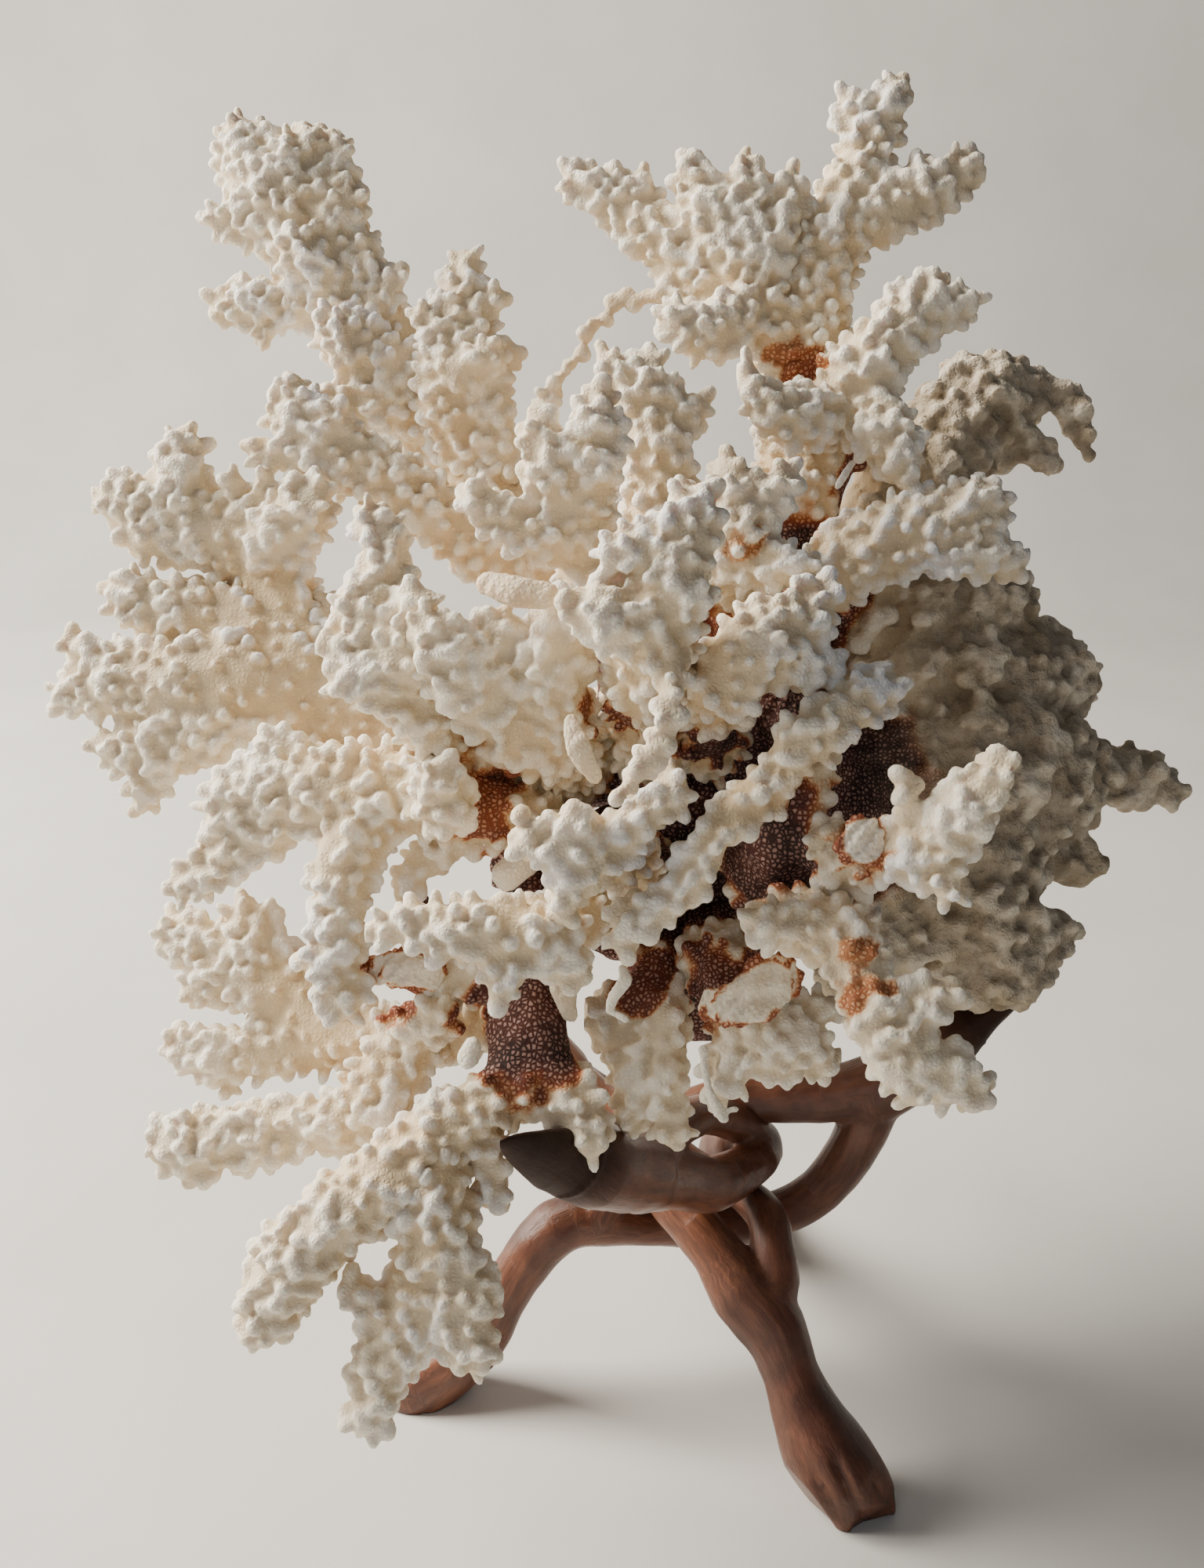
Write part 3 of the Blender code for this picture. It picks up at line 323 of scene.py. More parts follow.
        (0.8, (64, 142, 4, 9), (76, 148, 6, 9), (86, 154, 6, 8), (92, 156, 6, 7)),
    ),
    "branch_upper_right_left": (
        (0.8, (50, 112, 6, 11), (42, 120, 6, 11), (36, 130, 6, 11), (28, 142, 6, 10), (24, 152, 6, 7),
         (22, 157, 6, 5)),
        (0.8, (38, 136, 8, 8), (37, 150, 8, 7), (36, 159, 8, 5)),
        (0.8, (42, 134, 8, 8), (48, 146, 8, 7), (48, 154, 8, 5)),
        (0.8, (34, 124, 4, 9), (22, 132, 2, 9), (12, 142, 0, 9), (2, 150, -2, 8), (-7, 154, -2, 6)),
        (0.8, (10, 144, 0, 7), (10, 154, 0, 5)),
        (0.8, (36, 120, 10, 9), (26, 114, 14, 8), (18, 119, 16, 5)),
        (1.0, (22, 122, 6, 4), (6, 124, 2, 2.6), (-5, 112, 4, 2.6), (-16, 95, 6, 2.6)),
    ),
    "branch_upper_right_side": (
        (0.8, (56, 92, 6, 11), (64, 102, 16, 11), (72, 112, 20, 10), (80, 120, 20, 9), (84, 127, 20, 6)),
        (0.8, (80, 118, 20, 8), (88, 121, 20, 7), (93, 123, 20, 5)),
        (0.8, (62, 96, 14, 10), (72, 90, 22, 9), (76, 82, 24, 7), (77, 77, 24, 5)),
        (0.8, (56, 94, 16, 10), (46, 94, 26, 8), (40, 100, 28, 6), (37, 105, 28, 4)),
    ),
    "branch_right_light": (
        (0.8, (42, 40, 0, 12), (58, 54, 14, 11), (72, 62, 22, 11), (86, 66, 24, 11), (96, 70, 24, 9)),
        (0.8, (84, 64, 24, 9), (94, 60, 24, 9), (103, 56, 22, 6.5)),
    ),
    "branch_back_left": (
        (0.9, (2, 6, -14, 12), (-18, 8, -36, 12), (-30, 12, -54, 11), (-38, 20, -68, 10),
         (-42, 30, -76, 7)),
        (0.9, (-26, 10, -48, 9), (-34, 0, -62, 9), (-38, -6, -72, 6)),
    ),
    "branch_back_middle": (
        (0.9, (22, 4, -18, 16), (16, 8, -50, 13), (10, 14, -80, 12), (4, 20, -100, 8)),
        (0.9, (16, 8, -54, 11), (20, -8, -76, 10), (22, -16, -92, 7)),
        (0.9, (12, 12, -70, 9), (22, 26, -86, 8), (26, 34, -94, 6)),
    ),
    "branch_back_high": (
        (0.9, (12, 40, -20, 12), (6, 54, -42, 12), (0, 66, -64, 11), (-4, 78, -80, 8)),
        (0.9, (2, 60, -56, 10), (14, 70, -74, 8), (16, 78, -82, 6)),
    ),
    "branch_back_upper_left": (
        (0.9, (-28, 78, -22, 9), (-36, 88, -40, 9), (-44, 98, -54, 8), (-48, 106, -62, 6)),
    ),
    "branch_back_upper_right": (
        (0.9, (50, 84, -8, 11), (48, 98, -30, 11), (46, 112, -48, 10), (46, 124, -58, 7)),
        (0.9, (48, 102, -36, 9), (56, 112, -56, 7), (58, 118, -62, 5)),
    ),
    "branch_back_right": (
        (0.9, (54, 34, -30, 14), (60, 46, -56, 13), (66, 58, -76, 11), (70, 70, -88, 8)),
        (0.9, (60, 44, -56, 11), (76, 40, -76, 9), (84, 40, -86, 6)),
    ),
    "branch_back_low": (
        (0.9, (26, -32, -14, 14), (22, -40, -40, 12), (20, -46, -60, 11), (20, -46, -78, 8)),
        (0.9, (22, -42, -48, 10), (36, -50, -62, 9), (42, -52, -72, 6)),
    ),
    "branch_back_low_right": (
        (0.9, (60, -26, -34, 16), (66, -34, -60, 13), (72, -36, -80, 10), (76, -34, -90, 7)),
        (0.9, (66, -32, -60, 11), (86, -26, -74, 9), (94, -22, -82, 6)),
    ),
}

# Making
QUICK_COARSENESS = 1.0
RUN_STEPS = 2                         # shorter links that each link of a run is split into
BASE_VOXEL = 1.3
WART_VOXEL = 0.68
HEART_VOXEL = 1.4
ROCK_VOXEL = 1.1
STAND_VOXEL = 1.0
SMALL_VOXEL = 0.4
TRIANGLE_BUDGET = 860000
PIECE_BUDGET = 150000
SMALL_TRIANGLES = 5000
HIDDEN_DEPTH = 2.2                    # a face this deep inside another piece is left out
SEED = 11

# Warts
WART_SINK = 2.2                       # the skin lies this far inside the shape's tabled radius
HEART_SINK = 0.5
SINK_SHARE = 0.38                     # though never more than this share of the radius
WART_RADII = (1.25, 2.35)
WART_HEIGHTS = (1.6, 3.0)
WART_LEAN = 0.45                      # how far warts lean toward the branch's tip
WART_SPACING = (2.6, 4.3)
WART_TRIES = 3.0                      # tries for each one that the spacing leaves room for
WART_SKEW = 0.16                      # random tilt
WART_OVAL = (0.8, 1.15)
WART_BLUNTNESS = 0.8                  # power that widens a wart's top
WART_RISE = 0.2                       # share of a wart's height that its middle stands over the skin

# Waves of the skins, as their length and height
BRANCH_WAVE = (15.0, 1.0)
WORN_WAVE = (15.0, 2.0)
HEART_WAVE = (16.0, 1.4)
STAND_WAVE = (34.0, 0.45)
STAND_GROWTH = 0.35

# How far from its links a skin's places can lie
CORAL_MARGIN = 8.0
STAND_MARGIN = 9.0

# The weathered side: where it starts and is full, seen from the front, and how far back
WORN_SIDE = (62.0, 96.0)
WORN_REAR = (-16.0, 22.0)

# Its broad dents and fine pits as depth and spacing, and its warts
WORN_DENTS = (3.4, (6.0, 13.0))
WORN_PITS = (1.3, (2.6, 6.0))
PIT_SIZES = (0.35, 0.62)              # radii as shares of the least spacing
WORN_WARTS = ((4.2, 7.4), (1.9, 3.6), (1.6, 3.2))

# Colours
# This white and the cool white below are the pale pieces' colour and, on wart tops, painted highlight
WHITE_AND_PAINTED_HIGHLIGHT = (250, 243, 228)
CREAM = (232, 217, 188)
CREAM_SHADE = (222, 208, 182)
BEAD_SHADE = (206, 176, 134)
WARM = (219, 194, 154)
MAROON = (92, 48, 38)
HEART_DARK = (44, 25, 21)
# Cool white: painted sky-lit highlight on wart tops, in noise patches
COOL_WHITE_AND_SKY_HIGHLIGHT = (232, 234, 238)
STONE_PALE = (236, 225, 204)
STONE_DARK = (182, 165, 140)
STONE_TAN = (176, 158, 128)
# Painted shade in the weathered side's pits
STONE_PIT_SHADE = (112, 95, 75)
WOOD_RED = (95, 58, 40)
WOOD_PALE = (148, 97, 68)
WOOD_MIDDLE = (120, 74, 51)
WOOD_DEEP = (78, 43, 33)
WOOD_SHADE = (70, 40, 30)
WOOD_LIT = (134, 84, 62)
WOOD_RING = (84, 42, 30)
WOOD_FIBRE = (66, 34, 24)
WOOD_DARK = (40, 22, 17)
# Painted shade of the leaf ends
WOOD_LEAF_SHADE = (38, 22, 15)
FLOOR_PALE = (214, 212, 208)
FLOOR_SHADE = (206, 204, 200)

# Colours of the cups and of the walls between them, from pale skin to the darkest brown
CUP_COLOURS = ((0.0, WARM), (0.3, (204, 142, 92)), (0.55, (140, 72, 44)), (0.85, MAROON), (1.0, HEART_DARK))
WALL_COLOURS = ((0.0, CREAM), (0.35, (226, 176, 128)), (0.6, (204, 146, 114)), (0.88, (178, 142, 130)),
                (1.0, (146, 112, 102)))

HEART_BROWN = 0.93
RIM_RUST = 0.62                       # brown at the rims of broken faces

# Brown, rise and warmth of the small pieces' finishes; rise brings in the pale white that is also painted
# highlight
FINISHES = {
    "pale": (0.0, 1.0, 0.0),
    "cream": (0.12, 0.35, 0.35),
    "cut": (0.0, 0.55, 0.15),
    "beaded": (0.15, 0.25, 0.6),
    "dark": (0.93, 0.1, 0.0),
}

# Lights: place, target, size in metres, power in watts, colour
LIGHTS = {
    "window": ((-1.15, 0.25, 0.95), (-0.02, 0.0, 0.2), (0.8, 1.0), 76.0, (1.0, 0.935, 0.83)),
    "room_front": ((-0.5, -1.5, 0.7), (0.0, 0.0, 0.2), (1.2, 1.2), 3.5, (0.92, 0.95, 1.0)),
}
SKY_COLOUR = (0.84, 0.9, 1.0, 1.0)
SKY_STRENGTH = 0.105

# Brown round the colony's heart fades out this far from the heart's skin, in mm
BROWN_REACH = (3.0, 15.0)

# Warmth of thin parts comes in this far from a run's tip
WARM_REACH = (12.0, 46.0)

# Brown and rust places away from the heart: right, up, toward, radius, strength
BROWN_PLACES = (
    (-20, -62, 50, 20, 0.92),
    (3, -27, 44, 13, 0.95),
    (13, -21, 46, 11, 0.95),
    (5, 13, 58, 6, 0.8),
    (-3, 22, 60, 5, 0.62),
    (30, 6, 50, 13, 0.95),
    (-22, -20, 30, 12, 0.85),
    (-12, -34, 34, 16, 0.9),
    (44, -12, 54, 25, 0.95),
    (44, -36, 50, 13, 0.85),
    (56, 30, 40, 9, 0.7),
    (68, -46, 84, 8, 0.44),
    (64, -54, 82, 6, 0.42),
    (26, -50, 48, 12, 0.85),
    (10, -50, 36, 10, 0.8),
    (-32, 18, 48, 13, 0.66),
    (-30, -4, 46, 11, 0.62),
    (-54, -50, 40, 13, 0.6),
    (50, 106, 10, 8, 0.5),
    (34, 62, 62, 6, 0.4),
    (-36, 90, -20, 7, 0.45),
    (28, 36, 40, 14, 0.6),
    (66, 74, 0, 12, 0.75),
    (66, 34, 10, 13, 0.75),
    (54, 48, 0, 13, 0.9),
    (32, -50, 60, 6, 0.75),
    (66, -15, 80, 9.5, 0.6),
)

# Small pieces held among the branches: finish, then runs as for the branches, with their flatness first
SMALL_PIECES = {
    "curled_flake": (
        "pale",
        (0.4, (5, -47, 60, 1.3), (6, -50, 61, 1.9), (3, -54, 60, 1.7), (2, -58, 59, 1.1)),
        (0.5, (2, -58, 59, 1.0), (6, -60, 60, 1.3)),
    ),
    "hanging_tendril": (
        "pale",
        (0.6, (26, -68, 52, 1.5), (26.5, -74, 53, 1.2), (28, -80, 54, 1.2), (31, -85, 54, 1.7)),
        (0.6, (29, -84, 54, 1.0), (34, -83, 54, 1.1)),
    ),
    "curved_plate": (
        "cream",
        (0.4, (-6, -37, 50, 2.6), (-10, -44, 52, 3.6), (-10, -52, 52, 3.6), (-8, -59, 50, 2.0)),
    ),
    "inner_stub": ("dark", (0.8, (53, 4, 50, 8), (50, 12, 42, 8), (44, 22, 36, 7))),
    "inner_root": ("dark", (0.8, (6, -14, 18, 9), (-10, -18, 22, 8.5), (-22, -21, 26, 7))),
    "white_finger": ("pale", (0.9, (-12, -15, 40, 3.4), (-18, -18, 46, 4.2), (-24, -23, 48, 4.4))),
    "white_bit": ("pale", (0.8, (-33, -67, 58, 2.6), (-34, -70, 58, 3.0))),
    "white_scroll": ("pale", (0.5, (64, 82, 20, 1.0), (62, 79, 21, 1.3), (60, 76, 20, 0.9))),
    "shell_flake": ("cream", (0.3, (-8, 16, 78, 2.0), (-6, 9, 80, 3.4), (-2, 2, 78, 2.2))),
    "beaded_finger": ("beaded", (0.9, (-29, 51, 73, 3.2), (-22, 49, 76, 4.2), (-14, 48, 77, 3.4))),
    "broken_disc": ("cut", (0.3, (66, -15, 84, 6.2), (66.5, -14, 84, 6.4))),
    "broken_face": (
        "cut",
        (0.3, (28, -56, 59, 4.0), (35, -56, 61, 6.6), (43, -51, 61, 7.2), (45, -49, 60, 6.4)),
    ),
    "broken_stub": ("cut", (0.5, (-58, -48, 46, 3.6), (-52, -47, 48, 5.2), (-44, -48, 48, 4.8))),
}

SIGHT_UP = np.array([0.0, math.sin(SIGHT_PITCH), math.cos(SIGHT_PITCH)])
SIGHT_TOWARD = np.array([0.0, -math.cos(SIGHT_PITCH), math.sin(SIGHT_PITCH)])
SIGHT_MIDDLE = np.array([STAND_MIDDLE[0] + SIGHT_OFFSET, STAND_MIDDLE[1], SIGHT_HEIGHT])
PLUMB = np.array([0.0, 0.0, 1.0])


def linear(colour):
    """An sRGB colour of 0 to 255 as the linear one that shaders take."""
    parts = [value / 255.0 for value in colour]
    parts = [value / 12.92 if value <= 0.04045 else ((value + 0.055) / 1.055) ** 2.4 for value in parts]
    return (parts[0], parts[1], parts[2], 1.0)


def smoothstep(low, high, value):
    share = np.clip((value - low) / (high - low), 0.0, 1.0)
    return share * share * (3.0 - 2.0 * share)


def unit(ways):
    """The directions with length 1."""
    return ways / np.maximum(np.linalg.norm(ways, axis=1), 1e-6)[:, None]


# Skeletons

def colony_place(right, up, toward, radius):
    nearness = (SIGHT_DISTANCE - toward) / SIGHT_DISTANCE
    place = SIGHT_MIDDLE + np.array([right * nearness, 0.0, 0.0]) + SIGHT_UP * (up * nearness)
    place = place + SIGHT_TOWARD * toward
    return np.array([*place, radius * nearness])


def stand_place(x, y, z, radius):
    return np.array([x + STAND_MIDDLE[0], y + STAND_MIDDLE[1], z, radius])


def eased_run(points):
    """The run's points with points between them on a smooth curve."""
    ends = [points[0] * 2 - points[1]] + list(points) + [points[-1] * 2 - points[-2]]
    eased = []
    for before, start, end, after in zip(ends, ends[1:], ends[2:], ends[3:]):
        for step in range(RUN_STEPS):
            t = step / RUN_STEPS
            bend = (2 * start + (end - before) * t + (2 * before - 5 * start + 4 * end - after) * t * t
                    + (3 * start - before - 3 * end + after) * t ** 3)
            eased.append(bend * 0.5)
    eased.append(points[-1])
    return np.array(eased)


class Skeleton:
    """A piece's links: ends, radii, flatness, and distances from its root and to the run's tip."""

    def __init__(self, runs, place, axis, sink=0.0):
        self.axis = axis
        rows = []
        for number, (flat, *points) in enumerate(runs):
            points = eased_run([place(*point) for point in points])
            lengths = np.linalg.norm(np.diff(points[:, :3], axis=0), axis=1)
            along = np.concatenate([[0.0], np.cumsum(lengths)])
            root = 0.0
            if rows:
                earlier = np.array(rows)
                near = np.argmin(np.linalg.norm(earlier[:, 3:6] - points[0, :3], axis=1))
                root = earlier[near, 10]
            for index in range(len(points) - 1):
                rows.append([*points[index, :3], *points[index + 1, :3],
                             points[index, 3] - min(sink, points[index, 3] * SINK_SHARE),
                             points[index + 1, 3] - min(sink, points[index + 1, 3] * SINK_SHARE), flat,
                             root + along[index], root + along[index + 1],
                             along[-1] - along[index], along[-1] - along[index + 1], number])
        self.rows = np.array(rows)
        reach = np.maximum(self.rows[:, 6], self.rows[:, 7])[:, None]
        self.lows = np.minimum(self.rows[:, :3], self.rows[:, 3:6]) - reach
        self.highs = np.maximum(self.rows[:, :3], self.rows[:, 3:6]) + reach
        self.low = self.lows.min(axis=0)
        self.high = self.highs.max(axis=0)

    def measure(self, points, margin):
        """Each point's height over the nearest link's skin, place along the piece, and which link it is."""
        height = np.full(len(points), 1e3)
        link = np.zeros(len(points), int)
        share = np.zeros(len(points))
        for index, row in enumerate(self.rows):
            over = points > self.lows[index] - margin
            under = points < self.highs[index] + margin
            places = np.nonzero(np.all(over & under, axis=1))[0]
            if len(places) == 0:
                continue
            stretch = 1.0 / row[8] - 1.0
            offset = points[places] - row[:3]
            offset = offset + np.outer(offset @ self.axis * stretch, self.axis)
            run = row[3:6] - row[:3]
            run = run + self.axis * (run @ self.axis) * stretch
            t = np.clip(offset @ run / max(run @ run, 1e-9), 0.0, 1.0)
            gap = np.linalg.norm(offset - np.outer(t, run), axis=1) - (row[6] + (row[7] - row[6]) * t)
            better = gap < height[places]
            chosen = places[better]
            height[chosen] = gap[better]
            link[chosen] = index
            share[chosen] = t[better]
        return height, link, share

    def between(self, link, share, start, end):
        rows = self.rows[link]
        return rows[:, start] + (rows[:, end] - rows[:, start]) * share

    def along(self, link, share):
        return self.between(link, share, 9, 10)

    def to_tip(self, link, share):
        return self.between(link, share, 11, 12)

    def tangent(self, link):
        return unit(self.rows[link, 3:6] - self.rows[link, :3])

    def middles(self, link, share):
        rows = self.rows[link]
        return rows[:, :3] + (rows[:, 3:6] - rows[:, :3]) * share[:, None]

    def flat(self, link):
        return self.rows[link, 8]

    def in_last_run(self, link):
        return self.rows[link, 13] == self.rows[-1, 13]

    def skin(self):
        """Closed hulls round all links, in one mesh."""
        ball, _ = unit_ball()
        mesh = bmesh.new()
        for row in self.rows:
            squash = Matrix.Scale(row[8], 3, Vector(self.axis))
            link = bmesh.new()
            for place, radius in ((row[:3], row[6]), (row[3:6], row[7])):
                for point in ball:
                    link.verts.new(Vector(place) + squash @ (Vector(point) * radius))
            hull = bmesh.ops.convex_hull(link, input=link.verts, use_existing_faces=False)
            inside = [item for item in hull["geom_interior"] if isinstance(item, bmesh.types.BMVert)]
            bmesh.ops.delete(link, geom=list(set(inside)), context="VERTS")
            piece = bpy.data.meshes.new("link")
            link.to_mesh(piece)
            link.free()
            mesh.from_mesh(piece)
            bpy.data.meshes.remove(piece)
        made = bpy.data.meshes.new("skin")
        mesh.to_mesh(made)
        mesh.free()
        return made


def unit_ball():
    """Places and triangles of a ball of radius 1."""
    shape = bmesh.new()
    bmesh.ops.create_icosphere(shape, subdivisions=2, radius=1.0)
    places = np.array([vert.co[:] for vert in shape.verts])
    triangles = np.array([[vert.index for vert in face.verts] for face in shape.faces])
    shape.free()
    return places, triangles


# Meshes

def placed(obj):
    bpy.context.scene.collection.objects.link(obj)
    return obj


def through_modifiers(mesh, *steps):
    """The mesh after modifiers, each given as its type and its settings."""
    obj = placed(bpy.data.objects.new("work", mesh))
    for kind, settings in steps:
        step = obj.modifiers.new(kind.lower(), kind)
        for name, value in settings.items():
            setattr(step, name, value)
    graph = bpy.context.evaluated_depsgraph_get()
    made = bpy.data.meshes.new_from_object(obj.evaluated_get(graph))
    bpy.data.objects.remove(obj, do_unlink=True)
    bpy.data.meshes.remove(mesh)
    return made


def voxels(size):
    return "REMESH", {"mode": "VOXEL", "voxel_size": size * QUICK_COARSENESS}


def easing(iterations, factor=0.5):
    return "SMOOTH", {"iterations": iterations, "factor": factor}


def triples(items, name, kind):
    values = np.empty(len(items) * 3, dtype=kind)
    items.foreach_get(name, values)
    return values.reshape(-1, 3)


def places_of(mesh):
    return triples(mesh.vertices, "co", float)


def normals_of(mesh):
    return triples(mesh.vertex_normals, "vector", np.float32).astype(float)


def set_places(mesh, places):
    mesh.vertices.foreach_set("co", places.ravel().astype(np.float32))
    mesh.update()


def pushed(mesh, amounts):
    """Places of the mesh after each has moved along its normal."""
    return places_of(mesh) + normals_of(mesh) * amounts[:, None]


def triangles_of(mesh):
    mesh.calc_loop_triangles()
    return triples(mesh.loop_triangles, "vertices", np.int32)


def mesh_from(places, triangles):
    mesh = bpy.data.meshes.new("made")
    mesh.vertices.add(len(places))
    mesh.vertices.foreach_set("co", places.ravel().astype(np.float32))
    mesh.loops.add(len(triangles) * 3)
    mesh.loops.foreach_set("vertex_index", triangles.ravel().astype(np.int32))
    mesh.polygons.add(len(triangles))
    mesh.polygons.foreach_set("loop_start", np.arange(0, len(triangles) * 3, 3, dtype=np.int32))
    mesh.update(calc_edges=True)
    return mesh


def areas_of(places, triangles):
    a, b, c = (places[triangles[:, k]] for k in range(3))
    return np.linalg.norm(np.cross(b - a, c - a), axis=1) * 0.5


def roll(places, scale, seed):
    """A soft wandering value of about -1 to 1 at each place."""
    draw = np.random.default_rng(seed)
    total = np.zeros(len(places))
    for octave in (1.0, 1.9, 3.7):
        for _ in range(5):
            way = draw.normal(size=3)
            way = way / np.linalg.norm(way) * (2 * math.pi * octave / scale)
            total += np.sin(places @ way + draw.uniform(0, 2 * math.pi)) / octave
    return total / 4.0


def spaced(places, spacing):
    """Picks of the places, in order, that keep their spacing from each other."""
    cell = float(spacing.max())
    keys = np.floor(places / cell).astype(int).tolist()
    points = places.tolist()
    gaps = spacing.tolist()
    grid = {}
    kept = []
    around = [(x, y, z) for x in (-1, 0, 1) for y in (-1, 0, 1) for z in (-1, 0, 1)]
    for index, (kx, ky, kz) in enumerate(keys):
        px, py, pz = points[index]
        least = gaps[index] ** 2
        clear = True
        for dx, dy, dz in around:
            for qx, qy, qz in grid.get((kx + dx, ky + dy, kz + dz), ()):
                if (px - qx) ** 2 + (py - qy) ** 2 + (pz - qz) ** 2 < least:
                    clear = False
                    break
            if not clear:
                break
        if clear:
            kept.append(index)
            grid.setdefault((kx, ky, kz), []).append((px, py, pz))
    return np.array(kept, dtype=int)


def drop_hidden(mesh, name, skeletons, depth):
    """Leave out faces that lie deep inside other pieces."""
    places = places_of(mesh)
    buried = hidden(places, name, skeletons, depth)
    if not buried.any():
        return mesh
    triangles = triangles_of(mesh)
    kept = triangles[~buried[triangles].all(axis=1)]
    used = np.unique(kept)
    renumber = np.zeros(len(places), dtype=np.int64)
    renumber[used] = np.arange(len(used))
    bpy.data.meshes.remove(mesh)
    return mesh_from(places[used], renumber[kept])


def hidden(places, name, skeletons, depth):
    buried = np.zeros(len(places), bool)
    low = places.min(axis=0)
    high = places.max(axis=0)
    for other, skeleton in skeletons.items():
        if other == name or np.any(skeleton.low > high) or np.any(skeleton.high < low):
            continue
        height, _, _ = skeleton.measure(places, 0.0)
        buried |= height < -depth
    return buried


# Colour values of the coral

def brownness(heart, places):
    """How brown each place is: 0 cream, 0.5 rust, 1 the darkest brown."""
    from_heart, _, _ = heart.measure(places, 30.0)
    wander = roll(places, 22.0, 5) * 5.0
    brown = 1.0 - smoothstep(*BROWN_REACH, from_heart + wander)
    for right, up, toward, radius, strength in BROWN_PLACES:
        spot = colony_place(right, up, toward, radius)
        far = np.linalg.norm(places - spot[:3], axis=1) + roll(places, 11.0, 6) * 3.2
        brown = np.maximum(brown, strength * (1.0 - smoothstep(spot[3] * 0.7, spot[3] * 1.05, far)))
    return brown


def seen_axes(places):
    """Right, up and toward of each place, as the tables give them."""
    offset = places - SIGHT_MIDDLE
    toward = offset @ SIGHT_TOWARD
    nearness = (SIGHT_DISTANCE - toward) / SIGHT_DISTANCE
    return offset[:, 0] / nearness, offset @ SIGHT_UP / nearness, toward


def wornness(places):
    """How far the colony's weathered right rear shows at each place."""
    right, up, toward = seen_axes(places)
    side = smoothstep(*WORN_SIDE, right + roll(places, 30.0, 8) * 8.0)
    rear = 1.0 - smoothstep(*WORN_REAR, toward + roll(places, 26.0, 9) * 6.0)
    return side * rear


# Coral pieces

def scatter_warts(name, base, skeleton, skeletons, seed, spacing_range, radii, heights):
    """Places, directions and sizes of the warts on a branch's skin."""
    draw = np.random.default_rng(seed)
    places = places_of(base)
    normals = normals_of(base)
    triangles = triangles_of(base)
    areas = areas_of(places, triangles)
    count = int(areas.sum() / (spacing_range[0] ** 2) * WART_TRIES)
    picks = draw.choice(len(triangles), size=count, p=areas / areas.sum())
    weights = draw.dirichlet((1.0, 1.0, 1.0), size=count)
    spots = np.einsum("ij,ijk->ik", weights, places[triangles[picks]])
    ways = unit(np.einsum("ij,ijk->ik", weights, normals[triangles[picks]]))
    _, link, share = skeleton.measure(spots, CORAL_MARGIN)
    brown = brownness(skeletons["coral_heart"], spots)
    to_tip = skeleton.to_tip(link, share)
    flat = skeleton.flat(link)
    facing = np.abs(ways @ skeleton.axis)
    broad = (flat < 0.75) * smoothstep(0.7, 0.95, facing) * smoothstep(14.0, 34.0, to_tip)
    gone = smoothstep(0.3, 0.55, brown)
    open_air = ~hidden(spots, name, skeletons, 0.8)
    wanted = open_air & (draw.random(count) < (1.0 - 0.45 * broad) * (1.0 - gone))
    index = np.nonzero(wanted)[0]
    small = 1.0 - 0.35 * broad[index]
    near_tip = 1.0 - smoothstep(10.0, 30.0, to_tip[index])
    wander = draw.uniform(*spacing_range, size=len(index)) * (1.0 + 0.3 * broad[index] - 0.14 * near_tip)
    kept = spaced(spots[index], wander)
    index = index[kept]
    small = small[kept]
    lean = WART_LEAN * draw.uniform(0.3, 1.4, size=len(index))
    tilt = draw.normal(size=(len(index), 3)) * WART_SKEW
    way = ways[index] + skeleton.tangent(link[index]) * lean[:, None] + tilt
    radius = draw.uniform(*radii, size=len(index)) * small
    tall = draw.uniform(*heights, size=len(index)) * small
    edge = 0.9 + 0.4 * (flat[index] < 0.9) * (1.0 - smoothstep(0.25, 0.75, facing[index]))
    return spots[index], unit(way), radius, tall * edge


def wart_mesh(spots, ways, radii, talls, seed):
    """Rounded stubs standing on their places."""
    draw = np.random.default_rng(seed)
    ball, faces = unit_ball()
    helper = np.where(np.abs(ways[:, 2:3]) < 0.8, [[0.0, 0.0, 1.0]], [[1.0, 0.0, 0.0]])
    side = unit(np.cross(ways, helper))
    other = np.cross(ways, side)
    turn = draw.uniform(0, math.pi, size=len(spots))
    u = side * np.cos(turn)[:, None] + other * np.sin(turn)[:, None]
    v = np.cross(ways, u)
    oval = draw.uniform(*WART_OVAL, size=len(spots))
    bulge = np.sign(ball[:, 2]) * np.abs(ball[:, 2]) ** WART_BLUNTNESS
    places = (spots[:, None, :] + ways[:, None, :] * (WART_RISE * talls[:, None, None])
              + u[:, None, :] * (ball[None, :, 0:1] * (radii * oval)[:, None, None])
              + v[:, None, :] * (ball[None, :, 1:2] * (radii / oval)[:, None, None])
              + ways[:, None, :] * (bulge[None, :, None] * talls[:, None, None]))
    triangles = faces[None, :, :] + (np.arange(len(spots)) * len(ball))[:, None, None]
    return places.reshape(-1, 3), triangles.reshape(-1, 3)


def joined(mesh, places, triangles):
    """The mesh with more triangles beside its own."""
    own = places_of(mesh)
    own_triangles = triangles_of(mesh)
    bpy.data.meshes.remove(mesh)
    return mesh_from(np.vstack([own, places]), np.vstack([own_triangles, triangles + len(own)]))


